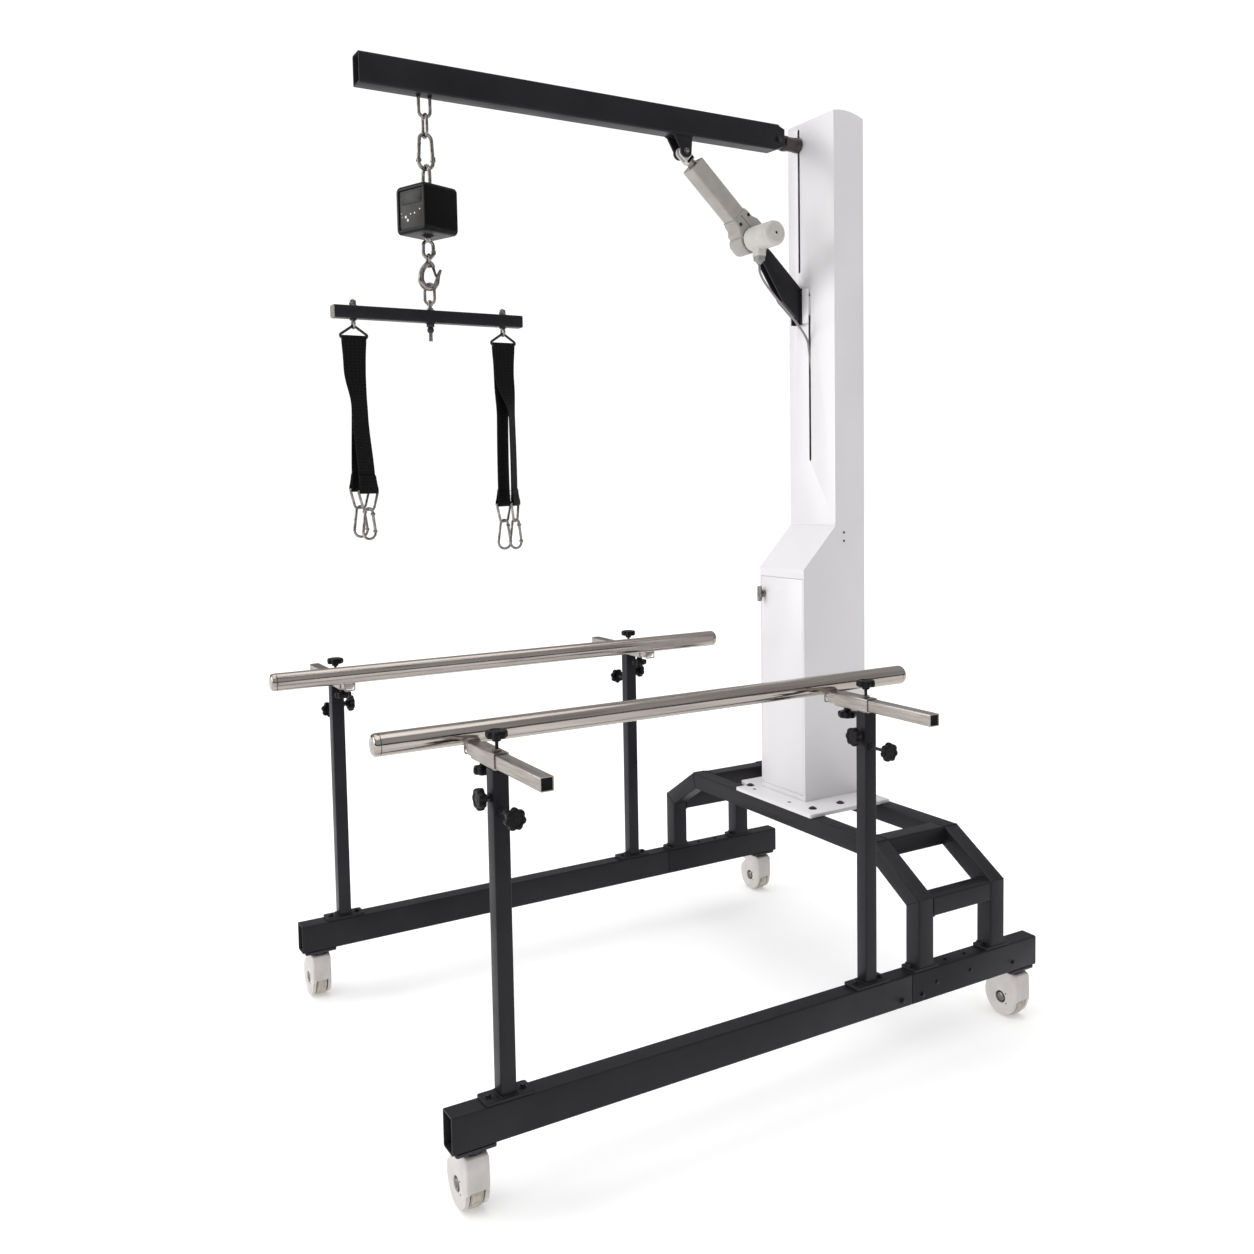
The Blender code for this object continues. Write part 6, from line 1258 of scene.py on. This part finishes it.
for side, sx in SIDES:
    for place, y in CASTER_Y.items():
        tag, swivel = f"{side}_{place}", f"caster_{side}_{place}"
        xs = sx * RAIL_X
        xw = xs - TRAIL
        hub = (xw, y, WHEEL_R)
        tunnel_r, faces = WHEEL_R + 0.0014, (y - SLOT_HALF, y + SLOT_HALF)
        cutters = [lathe([(0.0, -SLOT_HALF), (tunnel_r, -SLOT_HALF), (tunnel_r, SLOT_HALF), (0.0, SLOT_HALF)], hub,
                         ALONG_Y, 56)]
        for x0, x1, z1 in ((xw + 0.010, xw + 0.090, 0.0507), (xw - 0.090, xw + 0.012, 0.0240)):
            cutters.append(prism([(x0, -0.01), (x1, -0.01), (x1, z1), (x0, z1)], "y", *faces))
        cutters += [lathe([(0.0, -0.002), (0.0148, -0.002), (0.0142, 0.0026), (0.0, 0.0026)],
                          (xw, y + s * (HOOD_W / 2 - 0.0006), WHEEL_R), (0, -s, 0), 40) for s in (-1, 1)]
        hood = without(hood_mesh(xs, xw, y), cutters)
        if len(hood.faces) < 100:
            raise ValueError("the hood was lost in its cuts: " + tag)
        bmesh.ops.remove_doubles(hood, verts=hood.verts, dist=0.00002)
        piece("caster_shell_" + tag, soften(fair(hood), 0.0022, 3, 42), swivel, caster_nylon,
              ("caster_hood_" + tag,), 30)
        lever = block([(xw - 0.0080, 0.1000), (xw - 0.0300, 0.0975), (xw - 0.0480, 0.0990), (xw - 0.0640, 0.1055),
                       (xw - 0.0690, 0.1048), (xw - 0.0700, 0.1010), (xw - 0.0560, 0.0925), (xw - 0.0340, 0.0885),
                       (xw - 0.0200, 0.0925)], "y", y - 0.0190, y + 0.0190, 0.0016, 2, 30)
        lip = block([(xw - 0.0600, 0.1030), (xw - 0.0690, 0.1045), (xw - 0.0715, 0.1075), (xw - 0.0650, 0.1075)],
                    "y", y - 0.0180, y + 0.0180, 0.0008, 2, 30)
        piece("brake_pedal_" + tag, joined(lever, lip), swivel, caster_nylon)
        discs, axle_ends, dots = [], [], []
        for s in (-1, 1):
            at = (xw, y + s * (HOOD_W / 2 - 0.0030), WHEEL_R)
            discs.append(lathe([(0.0138, 0.0002), (0.0138, 0.0006), (0.0, 0.0006)], at, (0, s, 0), 40))
            axle_ends.append(lathe([(0.0100, 0.0004), (0.0100, 0.0022), (0.0088, 0.0032), (0.0046, 0.0036),
                                    (0.0040, 0.0028), (0.0, 0.0028)], at, (0, s, 0), 36))
            for a in (38, -32):
                (u, v), = arc(0.0205, a, a, 1, xw, WHEEL_R)[:1]
                dots.append(lathe([(0.0018, 0.0), (0.0018, 0.00045), (0.0, 0.00045)],
                                  (u, y + s * (HOOD_W / 2 - 0.0003), v), (0, s, 0), 16))
        # Dark discs on the bottom of the hub recesses and dark dots on the hood's sides: painted shade in the recesses
        # and small holes
        piece("caster_hub_well_" + tag, joined(*discs, *dots), swivel, painted_gap_shade)
        piece("caster_axle_ends_" + tag, joined(*axle_ends), swivel, hub_steel, (), 40)
        tread = [(0.0330, 0.0010 - WHEEL_HALF), (WHEEL_R - 0.0042, -WHEEL_HALF),
                 (WHEEL_R - 0.0012, 0.0020 - WHEEL_HALF), (WHEEL_R - 0.0002, 0.0056 - WHEEL_HALF),
                 (WHEEL_R, -WHEEL_HALF * 0.3)]
        core = [(0.0054, 0.0004 - WHEEL_HALF), (0.0110, 0.0004 - WHEEL_HALF), (0.0120, 0.0034 - WHEEL_HALF),
                (0.0300, 0.0030 - WHEEL_HALF), (0.0332, 0.0012 - WHEEL_HALF)]
        piece("wheel_tyre_" + tag, lathe(mirrored(tread), hub, ALONG_Y, 96), "wheel_" + tag, caster_tread,
              ("caster_wheel_" + tag,), 40)
        piece("wheel_core_" + tag, lathe(mirrored(core), hub, ALONG_Y, 64), "wheel_" + tag, caster_nylon, (), 40)

# Cable from the motor's plug down into the lower slot: one free length, its route as in the part's source


def bezier(p0, p1, p2, p3, t):
    u = 1 - t
    return p0 * u ** 3 + p1 * (3 * u * u * t) + p2 * (3 * u * t * t) + p3 * t ** 3


CABLE_R = 0.0030
CABLE_START = Vector((-0.0240, 0.39086, 1.83267))
CABLE_MOUTH = Vector((-0.0380, 0.5590, 1.6400))
CABLE_END = Vector((-0.0380, 0.5743, 1.5500))
lead = CABLE_START - Vector((0, 0, 0.010))
free = (lead, lead - Vector((0, 0, 0.045)), CABLE_MOUTH + Vector((0, -0.006, 0.050)), CABLE_MOUTH)
sunk = (CABLE_MOUTH, CABLE_MOUTH - Vector((0, -0.0030, 0.030)), CABLE_END - Vector((0, 0.004, -0.030)), CABLE_END)
route = [CABLE_START] + [bezier(*free, i / 26) for i in range(27)] + [bezier(*sunk, i / 10) for i in range(1, 11)]
lead_ob = add_object("actuator_lead", mesh_from("actuator_lead", bar_along(route, CABLE_R)))
lead_ob.data.materials.append(cable_pvc)
lead_ob.data.shade_smooth()
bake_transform(lead_ob)
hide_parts("actuator_cable")

# Floor, lights and surroundings

white_paper = finish("white_paper", None, "#f6f6f6", 0.9, Emission_Strength=0.26, Emission_Color=(1, 1, 1, 1))
floor = bpy.data.meshes.new("studio_floor")
floor.from_pydata([(-30, -30, 0), (30, -30, 0), (30, 30, 0), (-30, 30, 0)], [], [(0, 1, 2, 3)])
floor.materials.append(white_paper)
add_object("studio_floor", floor)

# Broad soft lights from far away: where each shines to, its strength and how wide it is in degrees
for name, direction, strength, spread in (("overhead_light", (0.05, 0.10, -1.0), 1.50, 70),
                                          ("front_light", (0.55, 1.0, -0.30), 1.22, 35)):
    lamp = bpy.data.lights.new(name, "SUN")
    lamp.energy, lamp.angle = strength, math.radians(spread)
    add_object(name, lamp).matrix_world = Vector(direction).to_track_quat("-Z", "Y").to_matrix().to_4x4()

# The camera sees plain white; for the rest a darker band lies round the horizon, as of a room's walls, which
# polished steel mirrors
world = bpy.data.worlds.new("pale_room")
bpy.context.scene.world = world
world.use_nodes = True
tree = world.node_tree
backdrop = tree.nodes["Background"]
backdrop.inputs["Color"].default_value = (1, 1, 1, 1)
where = add_node(tree, "ShaderNodeTexCoord").outputs["Generated"]
height = add_node(tree, "ShaderNodeSeparateXYZ", Vector=where).outputs["Z"]
band = add_node(tree, "ShaderNodeMath", {"operation": "COMPARE"}, n0=height, n1=0.06, n2=0.13).outputs[0]
walls = add_node(tree, "ShaderNodeMapRange", None, Value=band, To_Min=0.50, To_Max=0.07).outputs["Result"]
seen = add_node(tree, "ShaderNodeLightPath").outputs["Is Camera Ray"]
level = add_node(tree, "ShaderNodeMapRange", None, Value=seen, To_Min=walls, To_Max=1.05).outputs["Result"]
tree.links.new(level, backdrop.inputs["Strength"])
bpy.context.scene.view_settings.view_transform = "Standard"
